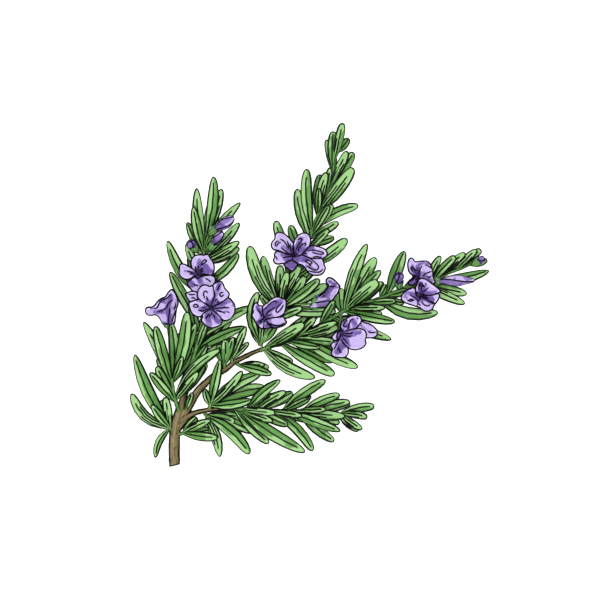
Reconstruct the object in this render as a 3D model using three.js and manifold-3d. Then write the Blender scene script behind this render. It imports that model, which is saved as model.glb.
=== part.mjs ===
// A cut sprig of flowering rosemary lying on a flat surface, in millimetres, +Z up.
// The woody butt rests at the origin and the shoots spread along +X and +Y. Each leafy shoot or tuft is one
// solid: a slim green stem with narrow leaves and the calyces of its flowers.
import * as THREE from "three";
import { mergeVertices } from "three/addons/utils/BufferGeometryUtils.js";
import Module from "manifold-3d";

const wasm = await Module();
wasm.setup();

// Driving dimensions.
const GAP = 0.3; // air kept between pieces that touch
const BUTT_HEIGHT = 2.55; // axis of the butt above the surface
const LEAF_CROWN = 0.55; // ridge of a blade above its middle
const LEAF_KEEL = 0.4; // rolled margins of a blade below its middle
const SPREAD = 32; // degrees between a shoot and its leaves
const TUBE_LENGTH = 7; // corolla tube from the foot of the calyx to the throat
const TUBE_RADIUS = 1.1;
const THROAT_RADIUS = 2.8;
const CALYX_LENGTH = 3.8;
const CALYX_RADIUS = 2.3;
const PETAL_THICKNESS = 0.8;
const LEAF_MARGIN = 0.95; // half the room kept between the middle surfaces of two blades
const TOP_HEIGHT = 25; // no leaf tip stands higher
const ROOT_SHARE = 0.28; // share of a leaf, from its root, that may press against its own shoot's leaves

// Woody branches: points of the axis with the radius there.
const TRUNK = [
  [0, -7.4, BUTT_HEIGHT, 2.75], [-0.2, 2, BUTT_HEIGHT, 2.85], [0, 9, BUTT_HEIGHT, 2.8], [1, 15, 2.8, 2.9],
  [2.5, 20.5, 3, 2.6], [3.5, 24.5, 3.4, 2.1], [5, 29.5, 4, 1.7], [5.9, 31.5, 4.4, 1.5],
];
const UPPER_BRANCH = [
  [2.5, 17, 3, 2.3], [5.2, 20.5, 3.4, 2.2], [8, 25.2, 4.2, 2.1], [11.2, 30.5, 5, 2], [15, 34.8, 5.6, 1.85],
  [19.5, 38.8, 6.2, 1.7], [26, 42.5, 6.8, 1.5], [30, 45.8, 7.2, 1.4], [34.5, 48.2, 7.5, 1.3],
  [39, 50.5, 7.8, 1.2], [43.6, 52.2, 8, 1.1],
];
const LOWER_BRANCH = [
  [2, 13, 3, 2], [6, 17.8, 3.8, 1.7], [9.5, 20, 4.6, 1.5], [13.5, 21.2, 5.3, 1.3], [18, 22, 5.9, 1.2],
  [25.5, 22.8, 6.4, 1.1], [29, 22.6, 6.6, 1],
];

// Leafy shoots: the axis of the green stem, its radius at both ends, and the leaves that spread sideways as
// [distance along the stem, heading from the stem in degrees (left is positive), length], some with a width
// and a sideways bow of their own. Late leaves fill the gaps once all the others stand.
const FAN = {
  name: "fan_shoot",
  route: [[2.6, 20.5, 4.6], [1, 25.5, 6.6], [-0.2, 30, 7.8], [-1, 36.5, 8.6], [-1.6, 50, 8.8], [-2, 57, 9]],
  radius: [1.1, 0.7],
  seed: 514229,
  leaves: [
    [16, 17, 33, 5, -0.03], [16, 7, 29], [17, -1, 29], [17, -15, 35], [17, -11, 24], [17, -25, 31],
    [16, -37, 31], [6, 23, 19], [7, 12, 19], [8, -58, 33, 4.6, 0.1], [7, -54, 18], [8, -56, 22],
  ],
  fillers: 4,
};
const LEFT = {
  name: "left_shoot",
  route: [
    [5.6, 30.8, 4.3], [8, 42, 6.6], [11.5, 54.5, 8], [14, 67, 8.6], [15, 79.5, 8.8], [14.5, 92, 8.8],
    [15, 102, 8.6], [16, 112, 8.4], [18, 122, 8.2],
  ],
  radius: [1.25, 0.6],
  seed: 832040,
  leaves: [
    [22, -49, 27, 5, 0.04], [28, -48, 31, 5, 0.05], [23, -36, 22], [12, -35, 25], [13, -19, 14],
    [15, -44, 25], [34, 40, 31], [49, 37, 33, 5.6, 0.08], [55, -50, 23, 4.8, -0.07], [58, 23, 19],
    [71, 30, 17], [71, 20, 15], [72, 14, 22], [75, 12, 28], [80, -2, 29], [75, -13, 18], [80, -13, 24],
    [82, -14, 22], [72, -33, 30, 4.6, 0.05], [68, -41, 25], [67, -59, 20], [66, -64, 19],
  ],
  fillers: 18,
  late: [[4, -30, 14, 4]],
};
const MIDDLE = {
  name: "middle_shoot",
  route: [
    [43, 53.9, 8.6], [45, 59.5, 9], [48, 66, 9.3], [53, 73, 9.5], [58, 82, 9.5], [62.5, 93, 9.4],
    [66, 102, 9.2], [68.5, 109.5, 9], [71, 117, 8.8], [73.5, 123, 8.7], [76.5, 129.5, 8.6], [78.5, 137, 8.5],
    [80, 144.5, 8.4], [81.5, 152, 8.2], [82.6, 156, 8.1],
  ],
  radius: [1.15, 0.6],
  seed: 317811,
  leaves: [
    [2, 22, 25, 4.6, 0.16], [1, 24, 11], [2, 8, 11], [2, -3, 11], [22, 55, 34, 6.4, 0.09],
    [22, 47, 27, 5], [23, 29, 20], [23, 16, 17], [23, 2, 22], [22, -8, 20], [22, -24, 24], [22, -34, 26],
    [22, -35, 25], [21, -56, 28], [18, 72, 12], [47, 52, 24, 5, 0.1], [51, 45, 16, 4.4, 0.06],
    [60, 32, 25, 4.6, 0.06], [64, 23, 30], [72, 18, 20], [74, 11, 19], [63, -16, 17],
    [65, -44, 25, 4.8, 0.08], [60, -41, 16], [57, -56, 13], [45, -38, 27, 5.8, -0.08], [75, -15, 26, 6.2],
    [87, -19, 21, 5.2], [88, -11, 19], [97, 10, 18], [102, 0, 17], [105, -27, 9],
  ],
  fillers: 20,
  late: [[1, 36, 12, 4.2], [2, -15, 12, 4.2]],
};
const RIGHT = {
  name: "right_shoot",
  route: [
    [43, 51.9, 7.9], [53, 55.5, 8.6], [63, 59.5, 9], [73, 64.5, 9], [83, 70.5, 9], [91.5, 74.5, 8.9],
    [102, 77.5, 8.7], [108, 80, 8.6], [115.5, 83, 8.5], [123, 85, 8.4], [130, 86.5, 8.2], [136.5, 90, 8],
    [144, 93, 7.8], [150, 96.5, 7.6],
  ],
  radius: [1.15, 0.6],
  seed: 196418,
  leaves: [
    [3, 4, 19, 5.4], [4, 12, 22, 5.6], [21, 24, 12], [33, 24, 20], [33, 22, 11], [47, 46, 35, 5.6],
    [49, 36, 29, 6], [51, 26, 23], [48, 16, 21, 6], [56, 28, 15], [51, -16, 11], [49, -32, 17],
    [47, -37, 25], [40, -51, 31], [21, -50, 33], [16, -50, 24], [11, -52, 31], [3, -45, 15],
    [2, -48, 29, 6.2, -0.08], [21, -8, 20], [21, -17, 19], [18, -27, 21], [16, -35, 24],
    [70, 46, 23, 5.8], [66, 39, 7], [65, -35, 30, 5.8, -0.12], [66, -32, 12], [71, -5, 9], [90, 48, 15],
    [94, 36, 16], [98, 15, 17], [107, 23, 14], [113, 16, 10], [114, -15, 9], [96, -18, 26], [89, -25, 22],
    [88, -37, 23],
  ],
  fillers: 22,
  late: [[45, 70, 12, 6.6]],
};
const LOWER = {
  name: "lower_shoot",
  route: [
    [28.6, 22.6, 6.6], [43, 21.8, 7], [54, 21.5, 7.2], [63, 21.5, 7.3], [73, 21, 7.3], [83, 20, 7.2],
    [88, 19.2, 7],
  ],
  radius: [1.1, 0.6],
  seed: 121393,
  leaves: [
    [8, 44, 22], [10, 34, 14], [13, 35, 17], [16, 31, 17], [26, 35, 26], [29, 31, 13], [36, 26, 20],
    [39, 15, 21], [55, 21, 17], [56, 2, 12], [56, -26, 12], [54, -32, 13], [30, -4, 27], [29, -19, 27],
    [34, -40, 23], [4, -29, 39], [21, -43, 28, 5, 0.08], [13, -21, 17], [6, -16, 16], [23, -30, 11],
    [2, -42, 24],
  ],
  fillers: 12,
};

// Tufts that grow straight from the wood: where the tuft sits, which way it points and its leaves as
// [heading in degrees from +X, length], some with a width and a bow.
const TUFTS = [
  { name: "butt_tuft_left", seat: [-0.8, 10.6, 3.4], heading: 125, rise: 12, seed: 75025,
    leaves: [
      [115, 41, 6.2, 0.05], [138, 26, 5, 0.15], [126, 15], [98, 16], [106, 15], [244, 16.4, 3.6, -0.12],
    ] },
  { name: "butt_tuft_right", seat: [1.6, 9.6, 3.6], heading: 10, rise: 12, seed: 46368,
    leaves: [[26, 16], [-5, 18], [8, 17], [48, 11]] },
  { name: "fork_tuft", seat: [5.6, 21.4, 3.9], heading: 66, rise: 62, seed: 28657,
    leaves: [[68, 9, 2.8]] },
  { name: "lower_branch_tuft", seat: [17.4, 22, 6], heading: 75, rise: 30, seed: 17711,
    leaves: [[77, 24], [47, 24, 4], [32, 30, 6, 0.08], [18, 29, 6, 0.06], [8, 21]],
    late: [[106, 9, 3.4]] },
  { name: "lower_branch_spur", seat: [14.6, 21.3, 5.2], heading: -60, rise: 2, seed: 10946,
    leaves: [[-72, 22, 5.2, 0.06], [-41, 29, 5.8, 0.08], [-28, 20, 4.6], [-13, 15, 4.4], [7, 15, 3]],
    late: [[-5, 19, 4.6], [-20, 25, 4.8, 0.05]] },
  { name: "upper_branch_tuft", seat: [29, 45.2, 7.2], heading: 95, rise: 26, seed: 6765,
    leaves: [[66, 18, 3.8], [44, 12, 2.6]] },
  { name: "upper_branch_low_tuft", seat: [25.2, 42.1, 6.75], heading: 92, rise: 20, seed: 2584,
    leaves: [[104, 11, 5.6], [86, 13, 5], [71, 15, 3.6]] },
  { name: "upper_branch_spur", seat: [30.6, 46, 7], heading: -40, rise: 8, seed: 4181,
    leaves: [[1, 13], [-5, 15], [-14, 17]] },
];

// Open flowers: the throat of the corolla, the way it faces as [heading, elevation], how far its lobes open
// from the axis, the shoot and the distance along it where the stalk leaves, and the lobes as
// [angle, reach, width].
const FLOWERS = [
  { throat: [-4.8, 69.8, 13.5], facing: [106, 22], opening: 42, shoot: FAN, station: 33,
    lobes: [[16, 13.5, 9.5], [88, 11, 8], [144, 11, 8], [196, 12.5, 8.5], [286, 12.5, 10]] },
  { throat: [12.2, 90.2, 17.6], facing: [150, 76], opening: 78, shoot: LEFT, station: 60,
    lobes: [[69, 10, 10], [5, 8.5, 7], [-68, 9.5, 7.5], [-118, 9, 7.5], [174, 9.6, 8]] },
  { throat: [18.8, 73.5, 20], facing: [-20, 78], opening: 80, shoot: LEFT, station: 40,
    lobes: [[107, 10.5, 9], [58, 12, 9], [-2, 12, 10], [-86, 10.8, 9.5], [177, 10.8, 9.5]] },
  { throat: [59.8, 99.5, 18.4], facing: [95, 66], opening: 78, shoot: MIDDLE, station: 44,
    lobes: [[133, 13, 9], [68, 11.5, 8.5], [6, 16.5, 8.5], [-30, 16.5, 8.5], [-160, 10.5, 7]] },
  { throat: [45.4, 67.6, 19.2], facing: [60, 74], opening: 76, shoot: MIDDLE, station: 12,
    lobes: [[52, 12.5, 9], [0, 10.8, 8.5], [-100, 7, 9], [143, 8, 7], [108, 9.5, 8]] },
  { throat: [74, 79.6, 15.4], facing: [44, 24], opening: 38, shoot: MIDDLE, station: 24,
    lobes: [[42, 11, 8.5], [114, 12, 9], [186, 10.5, 8], [258, 9.5, 7.5], [330, 10.5, 8]] },
  { throat: [83.7, 60, 18.4], facing: [-60, 72], opening: 78, shoot: RIGHT, station: 45,
    lobes: [[88, 9, 7], [50, 12, 8], [7, 17, 8], [-28, 13, 10.5], [-108, 11.5, 8.5]] },
  { throat: [121.4, 90, 16.4], facing: [80, 62], opening: 72, shoot: RIGHT, station: 76,
    lobes: [[106, 9.4, 8], [56, 10, 8], [8, 9, 8], [-58, 6, 6], [172, 6, 6]] },
  { throat: [123, 79.8, 20.4], facing: [-80, 76], opening: 80, shoot: RIGHT, station: 83,
    lobes: [[168, 10.4, 8.5], [98, 8, 8], [20, 9.6, 8.5], [-48, 9, 8], [-118, 9, 8]] },
];

// Closed buds: base, the way they point as [heading, elevation], length, width, shoot and stalk station.
const BUDS = [
  { base: [19.1, 110.6, 12.2], facing: [35, 14], length: 14, width: 5.6, shoot: LEFT, station: 80 },
  { base: [18.7, 103.1, 13.2], facing: [54, 22], length: 10.8, width: 4.6, shoot: LEFT, station: 73 },
  { base: [11, 102, 12.6], facing: [128, 36], length: 6.6, width: 4.6, shoot: LEFT, station: 69 },
  { base: [112.4, 84, 12], facing: [92, 40], length: 8.4, width: 4.6, shoot: RIGHT, station: 72 },
  { base: [129.9, 86.4, 12], facing: [1, 8], length: 20.6, width: 5.4, shoot: RIGHT, station: 91 },
  { base: [150.4, 95.2, 10.6], facing: [30, 24], length: 6, width: 4, shoot: RIGHT, station: 113 },
];

const DEGREE = Math.PI / 180;

// Park and Miller's generator, so that the same seed always grows the same shoot.
function randomSource(seed) {
  let state = seed;
  return () => {
    state = (state * 16807) % 2147483647;
    return state / 2147483647;
  };
}

function heading(azimuth, elevation) {
  const level = Math.cos(elevation * DEGREE);
  return new THREE.Vector3(
    level * Math.cos(azimuth * DEGREE),
    level * Math.sin(azimuth * DEGREE),
    Math.sin(elevation * DEGREE),
  );
}

// A closed solid through rings of points, each ring turning left about the direction of travel.
function loft(rings) {
  const sides = rings[0].length;
  const positions = [];
  const addTriangle = (a, b, c) => positions.push(...a.toArray(), ...b.toArray(), ...c.toArray());
  for (let i = 1; i < rings.length; i++) {
    for (let j = 0; j < sides; j++) {
      const k = (j + 1) % sides;
      addTriangle(rings[i - 1][j], rings[i - 1][k], rings[i][k]);
      addTriangle(rings[i - 1][j], rings[i][k], rings[i][j]);
    }
  }
  const first = rings[0];
  const last = rings[rings.length - 1];
  for (let j = 2; j < sides; j++) {
    addTriangle(first[0], first[j], first[j - 1]);
    addTriangle(last[0], last[j - 1], last[j]);
  }
  const geometry = new THREE.BufferGeometry();
  geometry.setAttribute("position", new THREE.Float32BufferAttribute(positions, 3));
  return solidOf(geometry);
}

// A closed three.js geometry as a manifold solid.
function solidOf(geometry) {
  geometry.deleteAttribute("normal");
  geometry.deleteAttribute("uv");
  const merged = mergeVertices(geometry, 1e-4);
  return new wasm.Manifold(
    new wasm.Mesh({
      numProp: 3,
      vertProperties: merged.attributes.position.array,
      triVerts: new Uint32Array(merged.index.array),
    }),
  );
}

// A circle of points about a centre, square to a direction.
function circle(centre, direction, radius, sides) {
  const left = new THREE.Vector3(-direction.y, direction.x, 0);
  if (left.length() < 1e-3) left.set(0, 1, 0);
  left.normalize();
  const up = new THREE.Vector3().crossVectors(direction, left).normalize();
  return Array.from({ length: sides }, (_, i) => {
    const angle = ((i + 0.5) / sides) * 2 * Math.PI;
    return centre
      .clone()
      .addScaledVector(left, radius * Math.cos(angle))
      .addScaledVector(up, radius * Math.sin(angle));
  });
}

// A round solid along an axis: stages are [distance along the axis, radius].
function turned(origin, direction, stages, sides) {
  return loft(
    stages.map(([distance, radius]) =>
      circle(origin.clone().addScaledVector(direction, distance), direction, radius, sides)),
  );
}

// A tapering stem through points, with a radius for each.
function stem(points, radii, sides) {
  return loft(
    points.map((point, i) => {
      const before = points[Math.max(i - 1, 0)];
      const after = points[Math.min(i + 1, points.length - 1)];
      return circle(point, after.clone().sub(before).normalize(), radii[i], sides);
    }),
  );
}

// The point and the compass direction at a distance along a route.
function along(route, distance) {
  let travelled = 0;
  for (let i = 1; i < route.length; i++) {
    const a = route[i - 1];
    const b = route[i];
    const step = Math.hypot(b[0] - a[0], b[1] - a[1]);
    if (travelled + step >= distance || i === route.length - 1) {
      const share = Math.min((distance - travelled) / step, 1);
      return {
        point: new THREE.Vector3(...a).lerp(new THREE.Vector3(...b), share),
        azimuth: Math.atan2(b[1] - a[1], b[0] - a[0]) / DEGREE,
      };
    }
    travelled += step;
  }
  return null;
}

function routeLength(route) {
  return route.slice(1).reduce((sum, b, i) => sum + Math.hypot(b[0] - route[i][0], b[1] - route[i][1]), 0);
}

// Balls of taken room, in cells, so that a new leaf can ask whether another piece is in its way.
const CELL = 5;
const taken = new Map();

function takeRoom(owner, point, radius, crowded = true) {
  const key = [point.x, point.y, point.z].map((v) => Math.floor(v / CELL)).join();
  if (!taken.has(key)) taken.set(key, []);
  taken.get(key).push({ owner, point: point.clone(), radius, crowded });
}

// Near its root a leaf is crowded by its own shoot, and only minds other pieces there.
function isFree(owner, point, radius, crowded = true) {
  const [x, y, z] = [point.x, point.y, point.z].map((v) => Math.floor(v / CELL));
  for (let i = x - 1; i <= x + 1; i++) {
    for (let j = y - 1; j <= y + 1; j++) {
      for (let k = z - 1; k <= z + 1; k++) {
        for (const ball of taken.get([i, j, k].join()) ?? []) {
          const minded = ball.owner !== owner || !(ball.crowded || crowded);
          if (minded && ball.point.distanceTo(point) < ball.radius + radius) return false;
        }
      }
    }
  }
  return true;
}

// A point of a leaf's middle line. What would sink below the surface lies down along it instead.
function leafPoint(leaf, t) {
  const sway = leaf.sway * Math.sin(Math.PI * t);
  const a = leaf.azimuth * DEGREE;
  const climb = Math.tan(leaf.rise * DEGREE) * t + leaf.arch * Math.sin(Math.PI * t);
  const raw = leaf.root.z + leaf.length * climb;
  const floor = LEAF_KEEL + 0.02 + 0.5 * leaf.width * Math.sin(Math.abs(leaf.roll) * DEGREE);
  const clear = raw - floor;
  return new THREE.Vector3(
    leaf.root.x + leaf.length * (Math.cos(a) * t - Math.sin(a) * sway),
    leaf.root.y + leaf.length * (Math.sin(a) * t + Math.cos(a) * sway),
    floor + 0.5 * (clear + Math.sqrt(clear * clear + 0.3)),
  );
}

// Left and up directions of the blade at t.
function leafFrame(leaf, t) {
  const ahead = leafPoint(leaf, t + 0.01).sub(leafPoint(leaf, t - 0.01)).normalize();
  const left = new THREE.Vector3(-ahead.y, ahead.x, 0).normalize();
  left.applyAxisAngle(ahead, leaf.roll * DEGREE);
  return { left, up: new THREE.Vector3().crossVectors(ahead, left) };
}

// Narrow at the root, nearly parallel along the middle and blunt at the tip.
function leafHalfWidth(leaf, t) {
  const outline = t < 0.5 ? 0.2 + 0.8 * Math.sin(Math.PI * t) : 1 - 0.78 * (2 * t - 1) ** 4;
  return 0.5 * leaf.width * outline;
}

const LEAF_STATIONS = [0, 0.35, 0.82, 1];

function leafSolid(leaf) {
  return loft(
    LEAF_STATIONS.map((t) => {
      const middle = leafPoint(leaf, t);
      const { left, up } = leafFrame(leaf, t);
      const half = leafHalfWidth(leaf, t);
      const keel = middle.clone().addScaledVector(up, -LEAF_KEEL);
      return [
        keel.clone().addScaledVector(left, half),
        middle.clone().addScaledVector(up, LEAF_CROWN),
        keel.clone().addScaledVector(left, -half),
      ];
    }),
  );
}

// The room a leaf takes: balls down its middle and near both margins.
function leafRoom(leaf) {
  const room = [];
  for (let t = 0.16; t < 1.01; t += 0.07) {
    const middle = leafPoint(leaf, t);
    const { left } = leafFrame(leaf, t);
    const half = Math.max(leafHalfWidth(leaf, t) - 0.5, 0);
    for (const side of [-1, 0, 1]) {
      room.push({ point: middle.clone().addScaledVector(left, side * half), crowded: t < ROOT_SHARE });
    }
  }
  return room;
}

// The first rise at which the leaf passes clear of every piece. Where there is none, one that is clear of the
// other pieces and crosses only its own shoot's leaves will do, unless the leaf is a spare one.
const BENDS = [0, 4, -4, 8, -8, 12, -12, 16, -16, 20, -20, 25, -25];

function placeLeaf(owner, leaf) {
  for (const crossing of leaf.spare ? [false] : [false, true]) {
    for (const bend of BENDS) {
      const trial = { ...leaf, rise: leaf.rise + bend };
      const room = leafRoom(trial);
      const tooHigh = leafPoint(trial, 1).z > TOP_HEIGHT;
      const free = ({ point, crowded }) => isFree(owner, point, LEAF_MARGIN, crowded || crossing);
      if (!tooHigh && room.every(free)) {
        room.forEach(({ point, crowded }) => takeRoom(owner, point, LEAF_MARGIN, crowded));
        return trial;
      }
    }
  }
  return null;
}

// A leaf's lean out of the level: one that points more along the stem than SPREAD stands up from it.
function leanFor(turn) {
  const share = Math.cos(SPREAD * DEGREE) / Math.cos(turn * DEGREE);
  return share < 1 ? 0.5 * Math.acos(share) / DEGREE : 0;
}

// A leaf's root: just off the stem's axis, on the side the leaf grows to.
function rootOn(route, station, turn) {
  const { point, azimuth } = along(route, station);
  const root = point.addScaledVector(heading(azimuth + 90, 0), 0.5 * Math.sign(turn));
  return { root, azimuth: azimuth + turn };
}

// A longer leaf is also broader.
function usualWidth(length) {
  return 2.8 + 0.085 * length;
}

function sideLeaves(shoot, random) {
  return shoot.leaves.map(([station, turn, length, width, sway]) => {
    return {
      ...rootOn(shoot.route, station, turn),
      length,
      width: width ?? usualWidth(length),
      sway: sway ?? Math.sign(turn) * 0.05 * random(),
      rise: leanFor(turn) + 10 * (random() - 0.5),
      arch: 0.02 + 0.05 * random(),
      roll: 40 * (random() - 0.5),
    };
  });
}

// Shorter leaves that stand above and below the stem, a golden angle apart.
function fillerLeaves(shoot, random) {
  const total = routeLength(shoot.route);
  return Array.from({ length: shoot.fillers }, (_, i) => {
    const share = (i + 0.5) / shoot.fillers;
    const above = i % 2 === 0;
    const turn = 34 * Math.sin(i * 137.5 * DEGREE) * (1 - 0.4 * share);
    return {
      ...rootOn(shoot.route, 3 + share * (total - 15), turn),
      length: (above ? 15 : 18) - 5 * share + 4 * random(),
      width: 4 - share,
      rise: above ? 22 + 12 * random() : -24 - 14 * random(),
      sway: 0.04 * (random() - 0.5),
      arch: 0.02 + 0.04 * random(),
      roll: 50 * (random() - 0.5),
      spare: true,
    };
  });
}

function tuftLeaves(tuft, random) {
  const root = new THREE.Vector3(...tuft.seat).addScaledVector(heading(tuft.heading, tuft.rise), 2.6);
  return tuft.leaves.map(([azimuth, length, width, sway]) => ({
    root,
    azimuth,
    length,
    width: width ?? usualWidth(length),
    sway: sway ?? Math.sign(azimuth - tuft.heading) * 0.05 * random(),
    rise: tuft.rise * 0.4 + 16 * (random() - 0.35),
    arch: 0.03 + 0.04 * random(),
    roll: 40 * (random() - 0.5),
  }));
}

// The woody stem, made `grown` thicker all round.
function woodSolid(grown) {
  const branches = [[TRUNK, 10], [UPPER_BRANCH, 6], [LOWER_BRANCH, 6]].map(([branch, sides]) => {
    const points = branch.map(([x, y, z]) => new THREE.Vector3(x, y, z));
    const end = points.length - 1;
    const tip = points[end].clone().sub(points[end - 1]).normalize();
    points[end].addScaledVector(tip, grown);
    return stem(points, branch.map((p) => p[3] + grown), sides);
  });
  return wasm.Manifold.union(branches);
}

// Everything below the surface, and the slanting face of the cut.
function surfaceCut() {
  const below = new THREE.BoxGeometry(60, 60, 10).translate(0, 0, -5);
  const cut = new THREE.BoxGeometry(20, 10, 20).translate(0, -5, 0);
  cut.rotateZ(14 * DEGREE).translate(0, -6.2, 0);
  return wasm.Manifold.union([solidOf(below), solidOf(cut)]);
}

// The foot of a flower's or bud's calyx and the way its axis points from there.
function flowerFoot(flower) {
  const direction = heading(...flower.facing);
  return { direction, foot: new THREE.Vector3(...flower.throat).addScaledVector(direction, -TUBE_LENGTH) };
}

function budFoot(bud) {
  const direction = heading(...bud.facing);
  return { direction, foot: new THREE.Vector3(...bud.base).addScaledVector(direction, -1.2) };
}

// A green cup on a short stalk that rises from the stem.
function calyxSolids(shoot, station, foot, direction) {
  const inner = CALYX_RADIUS - 0.6;
  const outline = [
    [-0.8, 0.7], [1, 0.85 * CALYX_RADIUS], [CALYX_LENGTH, CALYX_RADIUS], [CALYX_LENGTH, inner], [1, inner],
  ];
  const cup = turned(foot, direction, outline, 5);
  const from = along(shoot.route, station).point;
  const stalk = stem([from, foot], [0.7, 0.65], 4);
  return [cup, stalk];
}

// The side and the way out of a corolla lobe, at an angle round the flower's axis.
function lobeFrame(direction, angle) {
  const turn = new THREE.Quaternion().setFromUnitVectors(new THREE.Vector3(0, 0, 1), direction);
  return {
    out: new THREE.Vector3(Math.cos(angle), Math.sin(angle), 0).applyQuaternion(turn),
    side: new THREE.Vector3(-Math.sin(angle), Math.cos(angle), 0).applyQuaternion(turn),
  };
}

// A point of a lobe's middle line, with the share of its full width there.
function lobePoint(flower, lobe, t) {
  const direction = heading(...flower.facing);
  const { out, side } = lobeFrame(direction, lobe[0] * DEGREE);
  const open = flower.opening * DEGREE;
  const reach = lobe[1] - 1.6;
  const outward = 1.6 + reach * Math.sin(open) * t;
  const forward = -1.2 + reach * (Math.cos(open) * t + 0.16 * Math.sin(Math.PI * t) - 0.12 * t * t);
  const middle = new THREE.Vector3(...flower.throat)
    .addScaledVector(out, outward)
    .addScaledVector(direction, forward);
  return { middle, side, direction };
}

const LOBE_STATIONS = [[0, 0.42], [0.5, 0.95], [0.82, 0.9], [1, 0.4]];

function lobeSolid(flower, lobe) {
  return loft(
    LOBE_STATIONS.map(([t, share]) => {
      const { middle, side, direction } = lobePoint(flower, lobe, t);
      const behind = lobePoint(flower, lobe, t - 0.02).middle;
      const ahead = lobePoint(flower, lobe, t + 0.02).middle.sub(behind).normalize();
      const up = new THREE.Vector3().crossVectors(ahead, side).normalize();
      const half = 0.5 * lobe[2] * share;
      const raised = middle.clone().addScaledVector(up, 0.12 * half);
      return [
        raised.clone().addScaledVector(side, half),
        raised.clone().addScaledVector(side, -half),
        middle.clone().addScaledVector(up, -PETAL_THICKNESS),
      ];
    }),
  );
}

function corollaSolid(flower) {
  const { direction, foot } = flowerFoot(flower);
  const outline = [
    [1.3, TUBE_RADIUS], [CALYX_LENGTH, TUBE_RADIUS], [TUBE_LENGTH, THROAT_RADIUS],
    [TUBE_LENGTH, THROAT_RADIUS - 0.8], [0.75 * TUBE_LENGTH, 0.8],
  ];
  const tube = turned(foot, direction, outline, 7);
  return wasm.Manifold.union([tube, ...flower.lobes.map((lobe) => lobeSolid(flower, lobe))]);
}

function budSolid(bud) {
  const { direction, foot } = budFoot(bud);
  const half = 0.5 * bud.width;
  const end = 1.2 + bud.length;
  const lip = CALYX_LENGTH + 0.3;
  const belly = lip + 0.45 * (end - lip);
  const outline = [
    [1.3, 0.9], [lip, 1.2], [belly, half], [belly + 0.6 * (end - belly), 0.78 * half], [end, 0.25 * half],
  ];
  return turned(foot, direction, outline, 6);
}

function meshOf(name, solid, colour, roughness) {
  const { numProp, numVert, vertProperties, triVerts } = solid.getMesh();
  const positions = new Float32Array(numVert * 3);
  for (let i = 0; i < numVert; i++) {
    positions.set(vertProperties.subarray(i * numProp, i * numProp + 3), i * 3);
  }
  const geometry = new THREE.BufferGeometry();
  geometry.setAttribute("position", new THREE.BufferAttribute(positions, 3));
  geometry.setIndex(new THREE.BufferAttribute(triVerts, 1));
  geometry.computeVertexNormals();
  const material = new THREE.MeshStandardMaterial({ color: colour, roughness, metalness: 0 });
  const mesh = new THREE.Mesh(geometry, material);
  mesh.name = name;
  return mesh;
}

// Wood, stems, calyces, corollas and buds take their room first, and the leaves then find their way between.
function reserveRoute(owner, route, radius) {
  for (let s = 0.5; s < routeLength(route); s += 1.5) takeRoom(owner, along(route, s).point, radius);
}

function reserveLine(owner, origin, direction, distances, radius) {
  for (const s of distances) takeRoom(owner, origin.clone().addScaledVector(direction, s), radius);
}

function reserveCalyx(shoot, station, foot, direction) {
  const from = along(shoot.route, station).point;
  for (const share of [0.25, 0.5, 0.75]) takeRoom(shoot.name, from.clone().lerp(foot, share), 0.9);
  reserveLine(shoot.name, foot, direction, [0, 1.5, 3], CALYX_RADIUS);
}

function reserveFlower(name, flower) {
  const { direction, foot } = flowerFoot(flower);
  reserveCalyx(flower.shoot, flower.station, foot, direction);
  reserveLine(name, foot, direction, [4.5, 5.5, 6.5], 2.2);
  for (const lobe of flower.lobes) {
    for (let t = 0.1; t < 1.01; t += 0.18) {
      const { middle, side } = lobePoint(flower, lobe, t);
      const half = 0.5 * lobe[2] * Math.sin(Math.PI * Math.min(0.2 + 0.7 * t, 0.8));
      reserveLine(name, middle, side, [-0.75 * half, -0.25 * half, 0.25 * half, 0.75 * half], 1.1);
    }
  }
}

function reserveBud(name, bud) {
  const { direction, foot } = budFoot(bud);
  reserveCalyx(bud.shoot, bud.station, foot, direction);
  for (let s = 5; s < bud.length + 1; s += 1.5) reserveLine(name, foot, direction, [s], 0.5 * bud.width);
}

// The green stem of a shoot with the calyces of its flowers and buds.
function shootCore(shoot) {
  const points = shoot.route.map((p) => new THREE.Vector3(...p));
  const [thick, thin] = shoot.radius;
  const last = points.length - 1;
  const cores = [stem(points, points.map((_, i) => thick + (thin - thick) * (i / last)), 5)];
  for (const flower of FLOWERS.filter((f) => f.shoot === shoot)) {
    const { direction, foot } = flowerFoot(flower);
    cores.push(...calyxSolids(shoot, flower.station, foot, direction));
  }
  for (const bud of BUDS.filter((b) => b.shoot === shoot)) {
    const { direction, foot } = budFoot(bud);
    cores.push(...calyxSolids(shoot, bud.station, foot, direction));
  }
  return cores;
}

function tuftCore(tuft) {
  const seat = new THREE.Vector3(...tuft.seat);
  return [turned(seat, heading(tuft.heading, tuft.rise), [[0, 1.5], [2.4, 1.5], [4, 0.8]], 6)];
}

// The core and the leaves that found room, fused and cut back from the wood that they grow on.
function spraySolid(core, placed) {
  const bodies = wasm.Manifold.union([...core, ...placed.map(leafSolid)])
    .subtract(woodSolid(GAP))
    .decompose();
  return bodies.reduce((a, b) => (a.volume() > b.volume() ? a : b));
}

const SHOOTS = [FAN, LEFT, MIDDLE, RIGHT, LOWER];
const WOOD_BROWN = 0x93805f;
const LEAF_GREEN = 0x5a8c47;
const PETAL_LILAC = 0xb49be0;

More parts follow.
